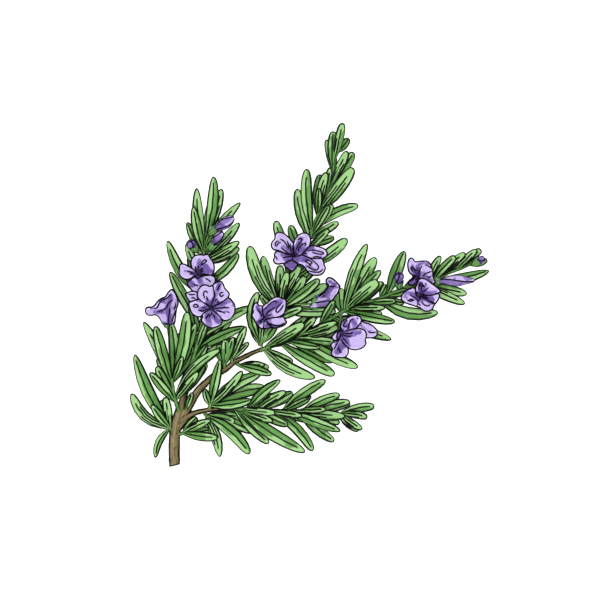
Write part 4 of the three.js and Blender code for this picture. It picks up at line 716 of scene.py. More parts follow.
for number, (flower, shape) in enumerate(zip(FLOWERS, LOBES), 1):
    facing = heading(*flower["facing"])
    throat_at = np.array(flower["throat"])
    foot = throat_at - TUBE_LENGTH * facing
    side_on = flower["facing"][1] < SIDE_ON
    walls = (-1, 1) if side_on else (1,)
    veins = [smooth_route(np.reshape(vein, (-1, 2)), 5) for vein in shape["veins"]]
    folds = np.vstack(veins)
    rings = [smooth_route(np.reshape(outline, (-1, 2)), 4) for _, outline in shape["cut"]]
    points, faces, cords = [], [], []
    values = {"depth": [], "rim": []}
    for layer, ((tint, _), ring) in enumerate(zip(shape["cut"], rings)):
        low, high = ring.min(axis=0), ring.max(axis=0)
        rows = np.arange(low[1], high[1], GRID_ROW * LOBE_GRID)
        spots = np.array([(x + 0.5 * LOBE_GRID * (i % 2), y) for i, y in enumerate(rows)
                          for x in np.arange(low[0], high[0], LOBE_GRID)])
        spots = spots[within(spots, ring) & (away_from(spots, ring)[0] > 0.4 * LOBE_GRID)]
        flat, _, corners, _, _, _ = geometry.delaunay_2d_cdt(
            [Vector(p) for p in np.vstack([ring, spots])], [], [list(range(len(ring)))], 1, 1e-5)
        flat = np.array(flat)
        for wall in walls:
            first = len(points)
            height = lobe_heights(flower, layer, ring, folds, flat, wall)
            points.extend(throat_at + np.column_stack([flat, height]))
            for a, b, c in corners:
                (x0, y0), (x1, y1) = flat[b] - flat[a], flat[c] - flat[a]
                if (x0 * y1 - y0 * x1) * wall < 0:
                    b, c = c, b
                faces.append([first + a, first + b, first + c])
            reach = np.linalg.norm(flat, axis=1) / (18 if side_on else 11)
            beside = np.exp(-(away_from(flat, folds)[0] / 1.3) ** 2)
            # Deeper violet towards the throat, beside the folds and in the strokes: painted shade in part,
            # over each lobe's own tint.
            values["depth"].extend(0.5 * tint + 0.22 * beside + 0.45 * (0.4 - reach)
                                   + 0.5 * violet_and_shade_at(flat, shape["violet_and_shade_strokes"])
                                   + 0.9 * np.exp(-reach / 0.1) * (not side_on))
            values["rim"].extend(away_from(flat, ring)[0])
            # The margin is a cord of the same tissue as the veins, nearly black as painted shade.
            cords.append((ring, lobe_heights(flower, layer, ring, folds, ring, wall)))
    first = len(points)
    for distance, radius in tube_outline:
        for k in range(TUBE_SIDES):
            out, _ = turn_about(facing, -2 * math.pi * k / TUBE_SIDES)
            points.append(foot + facing * distance + out * radius)
    faces.extend(grid_faces(len(tube_outline), TUBE_SIDES, first))
    values["depth"].extend([0.9] * (len(points) - first))
    values["rim"].extend([2.0] * (len(points) - first))
    corolla = new_piece(f"flower_{number}_corolla", points, faces, values, petal)
    flesh = corolla.modifiers.new("flesh", "SOLIDIFY")
    flesh.thickness = PETAL_THICKNESS * MM
    flesh.offset = 0
    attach(corolla, "root")
    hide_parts(f"flower_{number}")

    for vein in veins:
        height = np.full(len(vein), -np.inf)
        for layer, ring in enumerate(rings):
            here = lobe_heights(flower, layer, ring, folds, vein)
            height = np.maximum(height, np.where(within(vein, ring), here, -np.inf))
        known = np.flatnonzero(~np.isinf(height))
        if len(known):
            cords.append((vein, np.interp(np.arange(len(vein)), known, height[known]) + VEIN_LIFT))
    lines = []
    for flat, height in cords:
        ends = np.minimum(np.arange(len(flat)), np.arange(len(flat))[::-1])
        thick = VEIN_RADIUS * np.minimum(1, 0.55 + 0.2 * ends)
        lines.append([(*(throat_at + (x, y, h)), r, 0.0) for (x, y), h, r in zip(flat, height, thick)])
    ribs = grow(f"flower_{number}_veins", lines, stalk_tree, {"Sides": 6, "Ridge": 0.0, "Finish": cord})
    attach(ribs, "root")

# ---- Stamens ----
# Each flower has two arched stamens and a longer style, thin threads that rise from the throat over the upper
# lobe. They are slender stalks with a swollen tip, the pollen sac, and a fine point on the style.
FILAMENT_RADIUS = 0.14
THREADS = ((-16, 2.2, 0.3), (18, 1.9, 0.3), (2, 2.6, 0.17))  # turn from the upper lobe, length, tip radius

# Soft, moist threads: pale lilac at the foot and deep violet at the swollen tip, with a weak wet gloss.
filament, tree, skin = new_finish("rosemary filament")
along = add(tree, "Attribute", attribute_name="along").outputs["Fac"]
colour = coated(tree, linear("#8f76bd"), [(along, 0.35, 0.85, 1, "#2e2148")])
feed(tree, skin, {"Base Color": colour, "Roughness": 0.4})

for number, flower in enumerate(FLOWERS, 1):
    facing = heading(*flower["facing"])
    throat_at = np.array(flower["throat"])
    threads = []
    for turn_by, length, tip in THREADS:
        out, _ = turn_about(facing, math.radians(flower["lobes"][0][0] + turn_by))
        thread = smooth_route([throat_at + facing * forward + out * outward for forward, outward in (
            (-2.6, 0.3), (0.8, 0.9), (2.0, 0.5 * length), (2.2, length))], 4)
        swelling = np.ones(len(thread)) * FILAMENT_RADIUS
        swelling[-3:] = tip * 0.8, tip, tip * 0.5
        threads.append([(*p, r, 0.0) for p, r in zip(thread, swelling)])
    stamens = grow(f"flower_{number}_stamens", threads, stalk_tree,
                   {"Sides": 7, "Ridge": 0.0, "Finish": filament})
    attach(stamens, "root")

# ---- Buds ----
# Closed flowers: the lobes are still rolled round each other into a spindle, with a slanting fold where each
# one laps the next. A spindle of rings is turned round the bud's axis and stepped at every fold.
CALYX_LENGTH = 3.8
BUD_SEAT = 1.2  # from the foot of the calyx to the base point
BUD_START = 1.3  # of the spindle, inside the calyx
BUDS = [
    {"base": [19.1, 110.6, 12.2], "facing": [35, 14], "length": 14, "width": 5.6, "tint": 0.3,
     "taper": [0.8, 0.34], "shoot": "left_shoot", "station": 80},
    {"base": [18.7, 103.1, 13.2], "facing": [54, 22], "length": 10.8, "width": 4.6, "tint": 0.4,
     "taper": [0.8, 0.34], "shoot": "left_shoot", "station": 73},
    {"base": [11, 102, 12.6], "facing": [128, 36], "length": 6.6, "width": 4.6, "tint": 0.4,
     "taper": [0.9, 0.5], "shoot": "left_shoot", "station": 69},
    {"base": [112.4, 84, 12], "facing": [92, 40], "length": 8.4, "width": 4.6, "tint": 0.8,
     "taper": [0.9, 0.5], "shoot": "right_shoot", "station": 72},
    {"base": [129.9, 86.4, 12], "facing": [1, 8], "length": 20.6, "width": 5.4, "tint": 0.1,
     "taper": [0.66, 0.3], "shoot": "right_shoot", "station": 91},
    {"base": [150.4, 95.2, 10.6], "facing": [30, 24], "length": 6, "width": 4, "tint": 0.3,
     "taper": [0.8, 0.34], "shoot": "right_shoot", "station": 113},
]
BUD_FOLDS = 4
BUD_SIDES = 32
BUD_ROWS = 22


def bud_foot(bud):
    return np.array(bud["base"]) - BUD_SEAT * heading(*bud["facing"])


for number, bud in enumerate(BUDS, 1):
    facing = heading(*bud["facing"])
    level = heading(bud["facing"][0] + 90, 0)
    foot = bud_foot(bud)
    half_width = 0.5 * bud["width"]
    end = BUD_SEAT + bud["length"]
    lip = CALYX_LENGTH + 0.3
    belly = lip + 0.45 * (end - lip)
    waist, tip = bud["taper"]
    outline = [[BUD_START, 0.9], [lip, 1.25], [belly, half_width],
               [belly + 0.6 * (end - belly), waist * half_width],
               [end - 0.04 * (end - belly), tip * half_width], [end, 0.08 * half_width]]
    smooth = smooth_route(outline, 8)
    points = []
    values = {"depth": [], "rim": []}
    for stage in np.linspace(BUD_START, end, BUD_ROWS):
        radius = np.interp(stage, smooth[:, 0], smooth[:, 1])
        share = (stage - BUD_START) / (end - BUD_START)
        for k in range(BUD_SIDES):
            lap = (BUD_FOLDS * (k / BUD_SIDES + 0.22 * share) + 0.3 * number) % 1
            step = min(1, 5 * share) * (0.1 * (lap - 0.5) + 0.07 * math.sin(math.pi * lap))
            out, _ = turn_about(facing, -2 * math.pi * k / BUD_SIDES)
            points.append(foot + facing * stage + out * radius * (1 + step))
            lobe_width = 2 * math.pi * radius / BUD_FOLDS
            # Along each lap and along both flanks, as seen from above, the rim is least, so the petal finish
            # puts a near-black line of painted shade there.
            from_flank = 0.1 + radius * (1 - abs(out @ level)) + 9 * (out[2] < -0.4)
            values["depth"].append(0.55 * bud["tint"] + 0.35 - 0.3 * share + 0.25 * lap)
            values["rim"].append(min(lap * lobe_width, (1 - lap) * lobe_width, from_flank))
    faces = grid_faces(BUD_ROWS, BUD_SIDES, capped=True)
    rolled = new_piece(f"bud_{number}_rolled", points, faces, values, petal)
    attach(rolled, "root")
    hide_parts(f"bud_{number}")

# ---- Green stems and stalks ----
# The young stem of each leafy shoot, four-ridged as in all its family and swollen at the leaf joints, with
# the short stalks of the flowers that grow from it. Tufts on the old wood sit on short green stubs.
STEMS = {
    "fan_shoot": {"radius": [1.1, 0.7], "route": [
        [2.6, 20.5, 4.6], [1, 25.5, 6.6], [-0.2, 30, 7.8], [-1, 36.5, 8.6], [-1.6, 50, 8.8], [-2, 57, 9]]},
    "left_shoot": {"radius": [1.25, 0.6], "route": [
        [5.6, 30.8, 4.3], [8, 42, 6.6], [11.5, 54.5, 8], [14, 67, 8.6], [15, 79.5, 8.8], [14.5, 92, 8.8],
        [15, 102, 8.6], [16, 112, 8.4], [18, 122, 8.2]]},
    "middle_shoot": {"radius": [1.15, 0.6], "route": [
        [43, 53.9, 8.6], [45, 59.5, 9], [48, 66, 9.3], [53, 73, 9.5], [58, 82, 9.5], [62.5, 93, 9.4],
        [66, 102, 9.2], [68.5, 109.5, 9], [71, 117, 8.8], [73.5, 123, 8.7], [76.5, 129.5, 8.6],
        [78.5, 137, 8.5], [80, 144.5, 8.4], [81.5, 152, 8.2], [82.6, 156, 8.1]]},
    "right_shoot": {"radius": [1.15, 0.6], "route": [
        [43, 51.9, 7.9], [53, 55.5, 8.6], [63, 59.5, 9], [73, 64.5, 9], [83, 70.5, 9], [91.5, 74.5, 8.9],
        [102, 77.5, 8.7], [108, 80, 8.6], [115.5, 83, 8.5], [123, 85, 8.4], [130, 86.5, 8.2],
        [136.5, 90, 8], [144, 93, 7.8], [150, 96.5, 7.6]]},
    "lower_shoot": {"radius": [1.1, 0.6], "route": [
        [28.6, 22.6, 6.6], [43, 21.8, 7], [54, 21.5, 7.2], [63, 21.5, 7.3], [73, 21, 7.3], [83, 20, 7.2],
        [88, 19.2, 7]]},
}
TUFTS = {
    "butt_tuft_left": {"seat": [-0.8, 10.6, 3.4], "heading": 125, "rise": 12},
    "butt_tuft_right": {"seat": [1.6, 9.6, 3.6], "heading": 10, "rise": 12},
    "fork_tuft": {"seat": [5.6, 21.4, 3.9], "heading": 66, "rise": 62},
    "lower_branch_tuft": {"seat": [17.4, 22, 6], "heading": 75, "rise": 30},
    "lower_branch_spur": {"seat": [14.6, 21.3, 5.2], "heading": -60, "rise": 2},
    "upper_branch_tuft": {"seat": [29, 45.2, 7.2], "heading": 95, "rise": 26},
    "upper_branch_low_tuft": {"seat": [25.2, 42.1, 6.75], "heading": 92, "rise": 20},
    "upper_branch_spur": {"seat": [30.6, 46, 7], "heading": -40, "rise": 8},
}
JOINT_SPACING = 4.6
JOINT_REACH = 0.7
JOINT_SWELL = 0.2  # share of the stem's radius


def along_route(route, distance):
    """The point and the compass direction at a level distance along a route."""
    travelled = 0
    for a, b in zip(route, route[1:]):
        step = math.hypot(b[0] - a[0], b[1] - a[1])
        if travelled + step >= distance or b is route[-1]:
            share = min((distance - travelled) / step, 1)
            point = np.array(a) + (np.array(b, float) - np.array(a)) * share
            return point, math.degrees(math.atan2(b[1] - a[1], b[0] - a[0]))
        travelled += step
    return None


def downy(tree, where, size, strength, height):
    """The relief of down or pores that have a size and a height in millimetres."""
    grains = add(tree, "TexNoise", {"Vector": where, "Scale": 1 / (size * MM), "Detail": 2.0})
    return add(tree, "Bump", {"Height": grains, "Strength": strength, "Distance": height * MM})


# Young rosemary stem: green with a bloom of short pale down, so it is dull, browner towards its foot, and
# with near-black painted shade along its two flanks.
green_stem, tree, skin = new_finish("young rosemary stem")
reach, across = (
    add(tree, "Attribute", attribute_name=label).outputs["Fac"] for label in ("reach", "across"))
where = add(tree, "TexCoord").outputs["Object"]
blotch = add(tree, "TexNoise", {"Vector": where, "Scale": 1 / (2.5 * MM), "Detail": 3.0})
# Painted shade: near-black along the stem's two flanks.
painted_flank_shade = add(tree, "Math", [across], operation="ABSOLUTE")
colour = coated(tree, linear("#4b7a38"), (
    (blotch, 0.35, 0.65, 1, "#6a9c54"), (reach, 3.0, 0.0, 0.7, "#6f6a40"),
    (painted_flank_shade, 0.58, 0.72, 0.97, "#10180b")))
feed(tree, skin, {"Base Color": colour, "Normal": downy(tree, where, 0.25, 0.5, 0.06), "Roughness": 0.75,
                  "Specular IOR Level": 0.1})

# What each shoot carries, as the distance along it, the foot of the calyx and the way that it faces.
carried = {name: [] for name in STEMS}
for flower in FLOWERS:
    facing = heading(*flower["facing"])
    foot = np.array(flower["throat"]) - TUBE_LENGTH * facing
    carried[flower["shoot"]].append((flower["station"], foot, facing))
for bud in BUDS:
    carried[bud["shoot"]].append((bud["station"], bud_foot(bud), heading(*bud["facing"])))

for name, shoot in STEMS.items():
    thick, thin = shoot["radius"]
    line = smooth_route(shoot["route"], 10)
    share = np.linspace(0, 1, len(line))
    joint = np.abs((travel(line) + 0.5 * JOINT_SPACING) % JOINT_SPACING - 0.5 * JOINT_SPACING)
    radii = (thick + (thin - thick) * share) * (0.94 + JOINT_SWELL * np.exp(-(joint / JOINT_REACH) ** 2))
    radii[-1] *= 0.4
    lines = [[(*p, r, 0.0) for p, r in zip(line, radii)]]
    for station, foot, facing in carried[name]:
        start = along_route(shoot["route"], station)[0]
        bend = start + (foot - start) * 0.6 - facing * 0.5
        stalk = smooth_route([[*start, 0.7], [*bend, 0.6], [*foot, 0.62], [*(foot + facing * 0.5), 0.62]], 4)
        lines.append([(*p, 0.0) for p in stalk])
    stems = grow(f"{name}_stem", lines, stalk_tree, {"Sides": 16, "Ridge": 0.07, "Finish": green_stem})
    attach(stems, "root")

STUB = ((-0.6, 1.0), (0, 1.0), (2.4, 0.9), (4, 0.55), (4.4, 0.2))  # distance from the wood, radius
for name, tuft in TUFTS.items():
    growing = heading(tuft["heading"], tuft["rise"])
    stub = smooth_route([[*(tuft["seat"] + growing * distance), radius] for distance, radius in STUB], 4)
    stub = grow(f"{name}_stub", [[(*p, 0.0) for p in stub]], stalk_tree,
                {"Sides": 16, "Ridge": 0.05, "Finish": green_stem})
    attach(stub, "root")

# ---- Calyces ----
# The green cup round the foot of each flower and bud: ribbed, downy and split at the rim into five short
# teeth that are tinged with violet. Outer and inner walls are turned as rings and joined at the rim.
CALYX_SIDES = 40
TEETH = 5
CUP_OUTSIDE = [[-0.8, 0.6], [-0.3, 1.05], [0.3, 1.5], [1, 1.85], [2, 2.05], [3, 2.2]]
CUP_RIM = [[3.6, 2.32], [3.6, 2.14]]
CUP_INSIDE = [[2.6, 1.85], [1.6, 1.6], [1.1, 0.6]]
TOOTH_LENGTH = 1.1

# Downy leaf-like skin: dull green ribs with paler channels between, violet teeth, and near-black painted
# shade on its flanks.
calyx, tree, skin = new_finish("rosemary calyx")
ribs, height = (add(tree, "Attribute", attribute_name=label).outputs["Fac"] for label in ("ribs", "along"))
where = add(tree, "TexCoord").outputs
# Painted shade: near-black where the surface faces sideways rather than up.
level = add(tree, "SeparateXYZ", [where["Normal"]]).outputs["Z"]
colour = coated(tree, linear("#79ab62"), (
    (ribs, 0, 1, 1, "#447636"), (height, 0.72, 1.0, 0.8, "#5b4a78"), (level, 0.6, 0.4, 0.95, "#10180b")))
feed(tree, skin, {"Base Color": colour, "Normal": downy(tree, where["Object"], 0.3, 0.5, 0.06),
                  "Roughness": 0.7, "Specular IOR Level": 0.1})

for name, cups in carried.items():
    points, faces = [], []
    values = {"ribs": [], "along": []}
    cup_rings = CUP_OUTSIDE + CUP_RIM + CUP_INSIDE
    for _, foot, facing in cups:
        faces.extend(grid_faces(len(cup_rings), CALYX_SIDES, len(points), capped=True))
        for row, (distance, radius) in enumerate(cup_rings):
            for k in range(CALYX_SIDES):
                angle = 2 * math.pi * k / CALYX_SIDES
                out, _ = turn_about(facing, -angle)
                tooth = abs(math.cos(TEETH / 2 * angle)) ** 1.4 if [distance, radius] in CUP_RIM else 0
                tooth *= TOOTH_LENGTH
                rib = math.cos(2 * TEETH * angle)
                inside = row > len(CUP_OUTSIDE)
                width = radius * (1 if inside else 1 + 0.035 * rib) + 0.12 * tooth
                points.append(foot + facing * (distance + tooth) + out * width)
                values["ribs"].append(0.5 + 0.5 * rib)
                values["along"].append(max(0.0, distance + tooth) / (CUP_RIM[0][0] + TOOTH_LENGTH))
    if points:
        cup = new_piece(f"{name}_calyces", points, faces, values, calyx)
        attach(cup, "root")

# ---- Leaves ----
# Rosemary needles: narrow, leathery and blunt, domed on each side of a sunken midrib, with margins rolled
# under a pale felted back. They grow by a rule along each shoot and part round the flowers and round each
# other. Each shoot's needles are swept along their own middle lines.
SPREAD = 32  # degrees between a shoot and its leaves
LEAF_KEEL = 0.4  # rolled margins of a blade below its middle
LEAF_MARGIN = 0.95  # half the room kept between the middle surfaces of two blades
TOP_HEIGHT = 25  # no leaf tip stands higher
ROOT_SHARE = 0.28  # share of a leaf, from its root, that may press against its own shoot's leaves
ROOM_START = 0.16  # share of a leaf that needs no room of its own
ROOM_STEP = 0.07
LEAST_WIDTH = 2.8  # of the shortest leaves
WIDTH_GAIN = 0.085  # for each millimetre of a leaf's length
BLADE_GAIN = 0.28  # added to each side of a finished blade, except at its tip
ROLL_RANGE = 40  # degrees
FILLER_ROLL_RANGE = 50
FILLER_SPREAD = 34  # degrees to each side of the stem
GOLDEN_ANGLE = 137.5  # from filler to filler round the stem
CALYX_RADIUS = 2.3
# Leaves that spread sideways as [distance along the stem, heading from the stem in degrees, length], some
# with a width and a sideways bow of their own. Fillers stand above and below the stem.
SIDE_LEAVES = {
    "fan_shoot": {"seed": 514229, "fillers": 4, "leaves": [
        [16, 17, 33, 5, -0.03], [16, 7, 29], [17, -1, 29], [17, -15, 35], [17, -11, 24], [17, -25, 31],
        [16, -37, 31], [6, 23, 19], [7, 12, 19], [8, -58, 33, 4.6, 0.1], [7, -54, 18], [8, -56, 22]]},
    "left_shoot": {"seed": 832040, "fillers": 18, "leaves": [
        [22, -49, 27, 5, 0.04], [28, -48, 31, 5, 0.05], [23, -36, 22], [12, -35, 25], [13, -19, 14],
        [15, -44, 25], [34, 40, 31], [49, 37, 33, 5.6, 0.08], [55, -50, 23, 4.8, -0.07], [58, 23, 19],
        [71, 30, 17], [71, 20, 15], [72, 14, 22], [75, 12, 28], [80, -2, 29], [75, -13, 18], [80, -13, 24],
        [82, -14, 22], [72, -33, 30, 4.6, 0.05], [68, -41, 25], [67, -59, 20], [66, -64, 19]]},
    "middle_shoot": {"seed": 317811, "fillers": 20, "leaves": [
        [2, 22, 25, 4.6, 0.16], [1, 24, 11], [2, 8, 11], [2, -3, 11], [22, 55, 34, 6.4, 0.09],
        [22, 47, 27, 5], [23, 29, 20], [23, 16, 17], [23, 2, 22], [22, -8, 20], [22, -24, 24], [22, -34, 26],
        [22, -35, 25], [21, -56, 28], [18, 72, 12], [47, 52, 24, 5, 0.1], [51, 45, 16, 4.4, 0.06],
        [60, 32, 25, 4.6, 0.06], [64, 23, 30], [72, 18, 20], [74, 11, 19], [63, -16, 17],
        [65, -44, 25, 4.8, 0.08], [60, -41, 16], [57, -56, 13], [45, -38, 27, 5.8, -0.08], [75, -15, 26, 6.2],
        [87, -19, 21, 5.2], [88, -11, 19], [97, 10, 18], [102, 0, 17], [105, -27, 9]]},
    "right_shoot": {"seed": 196418, "fillers": 22, "leaves": [
        [3, 4, 19, 5.4], [4, 12, 22, 5.6], [21, 24, 12], [33, 24, 20], [33, 22, 11], [47, 46, 35, 5.6],
        [49, 36, 29, 6], [51, 26, 23], [48, 16, 21, 6], [56, 28, 15], [51, -16, 11], [49, -32, 17],
        [47, -37, 25], [40, -51, 31], [21, -50, 33], [16, -50, 24], [11, -52, 31], [3, -45, 15],
        [2, -48, 29, 6.2, -0.08], [21, -8, 20], [21, -17, 19], [18, -27, 21], [16, -35, 24],
        [70, 46, 23, 5.8], [66, 39, 7], [65, -35, 30, 5.8, -0.12], [66, -32, 12], [71, -5, 9], [90, 48, 15],
        [94, 36, 16], [98, 15, 17], [107, 23, 14], [113, 16, 10], [114, -15, 9], [96, -18, 26], [89, -25, 22],
        [88, -37, 23]]},
    "lower_shoot": {"seed": 121393, "fillers": 12, "leaves": [
        [8, 44, 22], [10, 34, 14], [13, 35, 17], [16, 31, 17], [26, 35, 26], [29, 31, 13], [36, 26, 20],
        [39, 15, 21], [55, 21, 17], [56, 2, 12], [56, -26, 12], [54, -32, 13], [30, -4, 27], [29, -19, 27],
        [34, -40, 23], [4, -29, 39], [21, -43, 28, 5, 0.08], [13, -21, 17], [6, -16, 16], [23, -30, 11],
        [2, -42, 24]]},
}
# Leaves of the tufts as [heading in degrees from +X, length], some with a width and a bow.
TUFT_LEAVES = {
    "butt_tuft_left": {"seed": 75025, "leaves": [
        [115, 41, 6.2, 0.05], [138, 26, 5, 0.15], [126, 15], [98, 16], [106, 15], [244, 16.4, 3.6, -0.12]]},
    "butt_tuft_right": {"seed": 46368, "leaves": [[26, 16], [-5, 18], [8, 17], [48, 11]]},
    "fork_tuft": {"seed": 28657, "leaves": [[68, 9, 2.8]]},
    "lower_branch_tuft": {"seed": 17711, "leaves": [
        [77, 24], [47, 24, 4], [32, 30, 6, 0.08], [18, 29, 6, 0.06], [8, 21]]},
    "lower_branch_spur": {"seed": 10946, "leaves": [
        [-72, 22, 5.2, 0.06], [-41, 29, 5.8, 0.08], [-28, 20, 4.6], [-13, 15, 4.4], [7, 15, 3]]},
    "upper_branch_tuft": {"seed": 6765, "leaves": [[66, 18, 3.8], [44, 12, 2.6]]},
    "upper_branch_low_tuft": {"seed": 2584, "leaves": [[104, 11, 5.6], [86, 13, 5], [71, 15, 3.6]]},
    "upper_branch_spur": {"seed": 4181, "leaves": [[1, 13], [-5, 15], [-14, 17]]},
}
# Leaves of the same kinds that fill the gaps once all the others stand.
LATE_LEAVES = {
    "lower_branch_tuft": [[106, 9, 3.4]],
    "lower_branch_spur": [[-5, 19, 4.6], [-20, 25, 4.8, 0.05]],
    "left_shoot": [[4, -30, 14, 4]],
    "middle_shoot": [[1, 36, 12, 4.2], [2, -15, 12, 4.2]],
    "right_shoot": [[45, 70, 12, 6.6]],
}
# A needle's section runs from its left margin over the domed top, down into the groove and back under. Its
# sizes are shares of half the width.
SECTION_HEIGHTS = {"Margin": -0.14, "Shoulder": 0.13, "Crown": 0.21, "Groove": 0.06, "Keel": -0.2,
                   "Rib": -0.13}
SECTION = [(1, "Margin"), (0.74, "Shoulder"), (0.32, "Crown"), (0, "Groove"), (-0.32, "Crown"),
           (-0.74, "Shoulder"), (-1, "Margin"), (-0.6, "Keel"), (0, "Rib"), (0.6, "Keel")]
LAST_ABOVE = 6  # number of the last point of the section that isn't on the back
# Shares of a leaf's length, each with how a pointed and a blunt blade are cut there in the room they have.
LEAF_STATIONS = ((0, 1, 1), (0.07, 1, 1), (0.18, 1.04, 1.02), (0.34, 1.06, 1.03), (0.52, 1.04, 1.05),
                 (0.7, 0.96, 1.06), (0.85, 0.87, 1.14), (0.94, 0.84, 1.3), (0.98, 0.7, 1.3), (1, 0.5, 0.9))
BLUNTNESS_STEP = 0.618  # from leaf to leaf
BLUNTNESS = {"left_shoot": (-0.1, 0.4), "middle_shoot": (0.7, 1.0), "fan_shoot": (0.1, 0.8)}
BENDS = (0, 4, -4, 8, -8, 12, -12, 16, -16, 20, -20, 25, -25)  # tried in turn, in degrees
THROAT_WIDTH = 1.6  # from the axis of a flower to the root of a lobe
CELL = 5
taken = {}


def random_source(seed):
    """Park and Miller's generator, so that the same seed always grows the same shoot."""
    state = seed
    while True:
        state = state * 16807 % 2147483647
        yield state / 2147483647


def cell_of(point):
    return tuple(math.floor(v / CELL) for v in point)


def take_room(owner, point, radius, crowded=True):
    taken.setdefault(cell_of(point), []).append((owner, tuple(point), radius, crowded))


def is_free(owner, point, radius, crowded=True):
    """Near its root a leaf is crowded by its own shoot, and only minds other pieces there."""
    for cell in itertools.product(*((v - 1, v, v + 1) for v in cell_of(point))):
        for holder, there, room, pressed in taken.get(cell, ()):
            if holder != owner or not (pressed or crowded):
                if math.dist(there, point) < room + radius:
                    return False
    return True


def keep_line(owner, origin, direction, distances, radius):
    for s in distances:
        take_room(owner, origin + direction * s, radius)


def route_length(route):
    return sum(math.hypot(b[0] - a[0], b[1] - a[1]) for a, b in zip(route, route[1:]))


def lobe_point(flower, lobe, t):
    """A point of a lobe's middle line, from the throat at 0 to the tip at 1, and the lobe's side."""
    direction = heading(*flower["facing"])
    out, side = turn_about(direction, math.radians(lobe[0]))
    spread = math.radians(flower["opening"])
    reach = lobe[1] - THROAT_WIDTH
    outward = THROAT_WIDTH + reach * math.sin(spread) * t
    forward = -1.2 + reach * (math.cos(spread) * t + 0.16 * math.sin(math.pi * t) - 0.12 * t * t)
    return np.array(flower["throat"]) + out * outward + direction * forward, side


def leaf_point(leaf, t):
    """A point of a leaf's middle line. What would sink below the floor lies down along it instead."""
    sway = leaf["sway"] * math.sin(math.pi * t)
    a = math.radians(leaf["azimuth"])
    climb = math.tan(math.radians(leaf["rise"])) * t + leaf["arch"] * math.sin(math.pi * t)
    raw = leaf["root"][2] + leaf["length"] * climb
    floor = LEAF_KEEL + 0.02 + 0.5 * leaf["width"] * math.sin(math.radians(abs(leaf["roll"])))
    clear = raw - floor
    return (leaf["root"][0] + leaf["length"] * (math.cos(a) * t - math.sin(a) * sway),
            leaf["root"][1] + leaf["length"] * (math.sin(a) * t + math.cos(a) * sway),
            floor + 0.5 * (clear + math.sqrt(clear * clear + 0.3)))


def leaf_side(leaf, t):
    """The way across the blade at t, to the left and turned by the leaf's roll."""
    behind, beyond = leaf_point(leaf, t - 0.01), leaf_point(leaf, t + 0.01)
    x, y, z = (q - p for p, q in zip(behind, beyond))
    size = math.sqrt(x * x + y * y + z * z)
    x, y, z = x / size, y / size, z / size
    level = math.hypot(x, y)
    left = (-y / level, x / level, 0)
    above = (y * left[2] - z * left[1], z * left[0] - x * left[2], x * left[1] - y * left[0])
    roll = math.radians(leaf["roll"])
    return tuple(p * math.cos(roll) + q * math.sin(roll) for p, q in zip(left, above))


def leaf_half_width(leaf, t):
    """Narrow at the root, nearly parallel along the middle and blunt at the tip."""
    outline = 0.2 + 0.8 * math.sin(math.pi * t) if t < 0.5 else 1 - 0.78 * (2 * t - 1) ** 4
    return 0.5 * leaf["width"] * outline


def leaf_room(leaf):
    """Balls down a leaf's middle and near both margins, each with whether it may be crowded there."""
    room = []
    t = ROOM_START
    while t < 1.01:
        middle, side = leaf_point(leaf, t), leaf_side(leaf, t)
        reach = max(leaf_half_width(leaf, t) - 0.5, 0)
        for way in (-1, 0, 1):
            room.append((tuple(p + way * reach * q for p, q in zip(middle, side)), t < ROOT_SHARE))
        t += ROOM_STEP
    return room


def place_leaf(owner, leaf):
    """The leaf at the first rise where it passes clear, or crossing its own shoot's leaves, or not at all."""
    for crossing in ([False] if leaf.get("spare") else [False, True]):
        for bend in BENDS:
            trial = dict(leaf, rise=leaf["rise"] + bend)
            if leaf_point(trial, 1)[2] > TOP_HEIGHT:
                continue
            room = leaf_room(trial)
            if all(is_free(owner, point, LEAF_MARGIN, crowded or crossing) for point, crowded in room):
                for point, crowded in room:
                    take_room(owner, point, LEAF_MARGIN, crowded)
                return trial
    return None


def place_all(name, leaves):
    return [leaf for leaf in (place_leaf(name, leaf) for leaf in leaves) if leaf]


def sign(value):
    return (value > 0) - (value < 0)


def root_on(route, station, turn):
    """Just off the stem's axis, on the side the leaf grows to."""
    point, azimuth = along_route(route, station)
    root = point + heading(azimuth + 90, 0) * 0.5 * sign(turn)
    return {"root": tuple(root), "azimuth": azimuth + turn}


def lean_for(turn):
    """A leaf that points more along the stem than SPREAD stands up from it."""
    share = math.cos(math.radians(SPREAD)) / math.cos(math.radians(turn))
    return 0.5 * math.degrees(math.acos(share)) if share < 1 else 0


def drawn_leaf(seat, turn, length, own, rises, arches, draw):
    """A leaf with a width and a bow of its own or the usual ones, and the rest drawn within its bounds."""
    leaf = dict(seat, length=length, width=own[0] if own else LEAST_WIDTH + WIDTH_GAIN * length)
    leaf["sway"] = own[1] if len(own) > 1 else sign(turn) * 0.05 * next(draw)
    rise, swing, middle = rises
    leaf["rise"] = rise + swing * (next(draw) - middle)
    leaf["arch"] = arches[0] + arches[1] * next(draw)
    leaf["roll"] = ROLL_RANGE * (next(draw) - 0.5)
    return leaf


def shoot_leaves(route, rows, fillers, draw):
    leaves = [drawn_leaf(root_on(route, station, turn), turn, length, own, (lean_for(turn), 10, 0.5),
                         (0.02, 0.05), draw) for station, turn, length, *own in rows]
    total = route_length(route)
    for i in range(fillers):
        share = (i + 0.5) / fillers
        above = i % 2 == 0
        turn = FILLER_SPREAD * math.sin(math.radians(i * GOLDEN_ANGLE)) * (1 - 0.4 * share)
        leaf = root_on(route, 3 + share * (total - 15), turn)
        leaf.update(length=(15 if above else 18) - 5 * share + 4 * next(draw), width=4 - share, spare=True)
        leaf["rise"] = 22 + 12 * next(draw) if above else -24 - 14 * next(draw)
        leaf["sway"] = 0.04 * (next(draw) - 0.5)
        leaf["arch"] = 0.02 + 0.04 * next(draw)
        leaf["roll"] = FILLER_ROLL_RANGE * (next(draw) - 0.5)
        leaves.append(leaf)
    return leaves


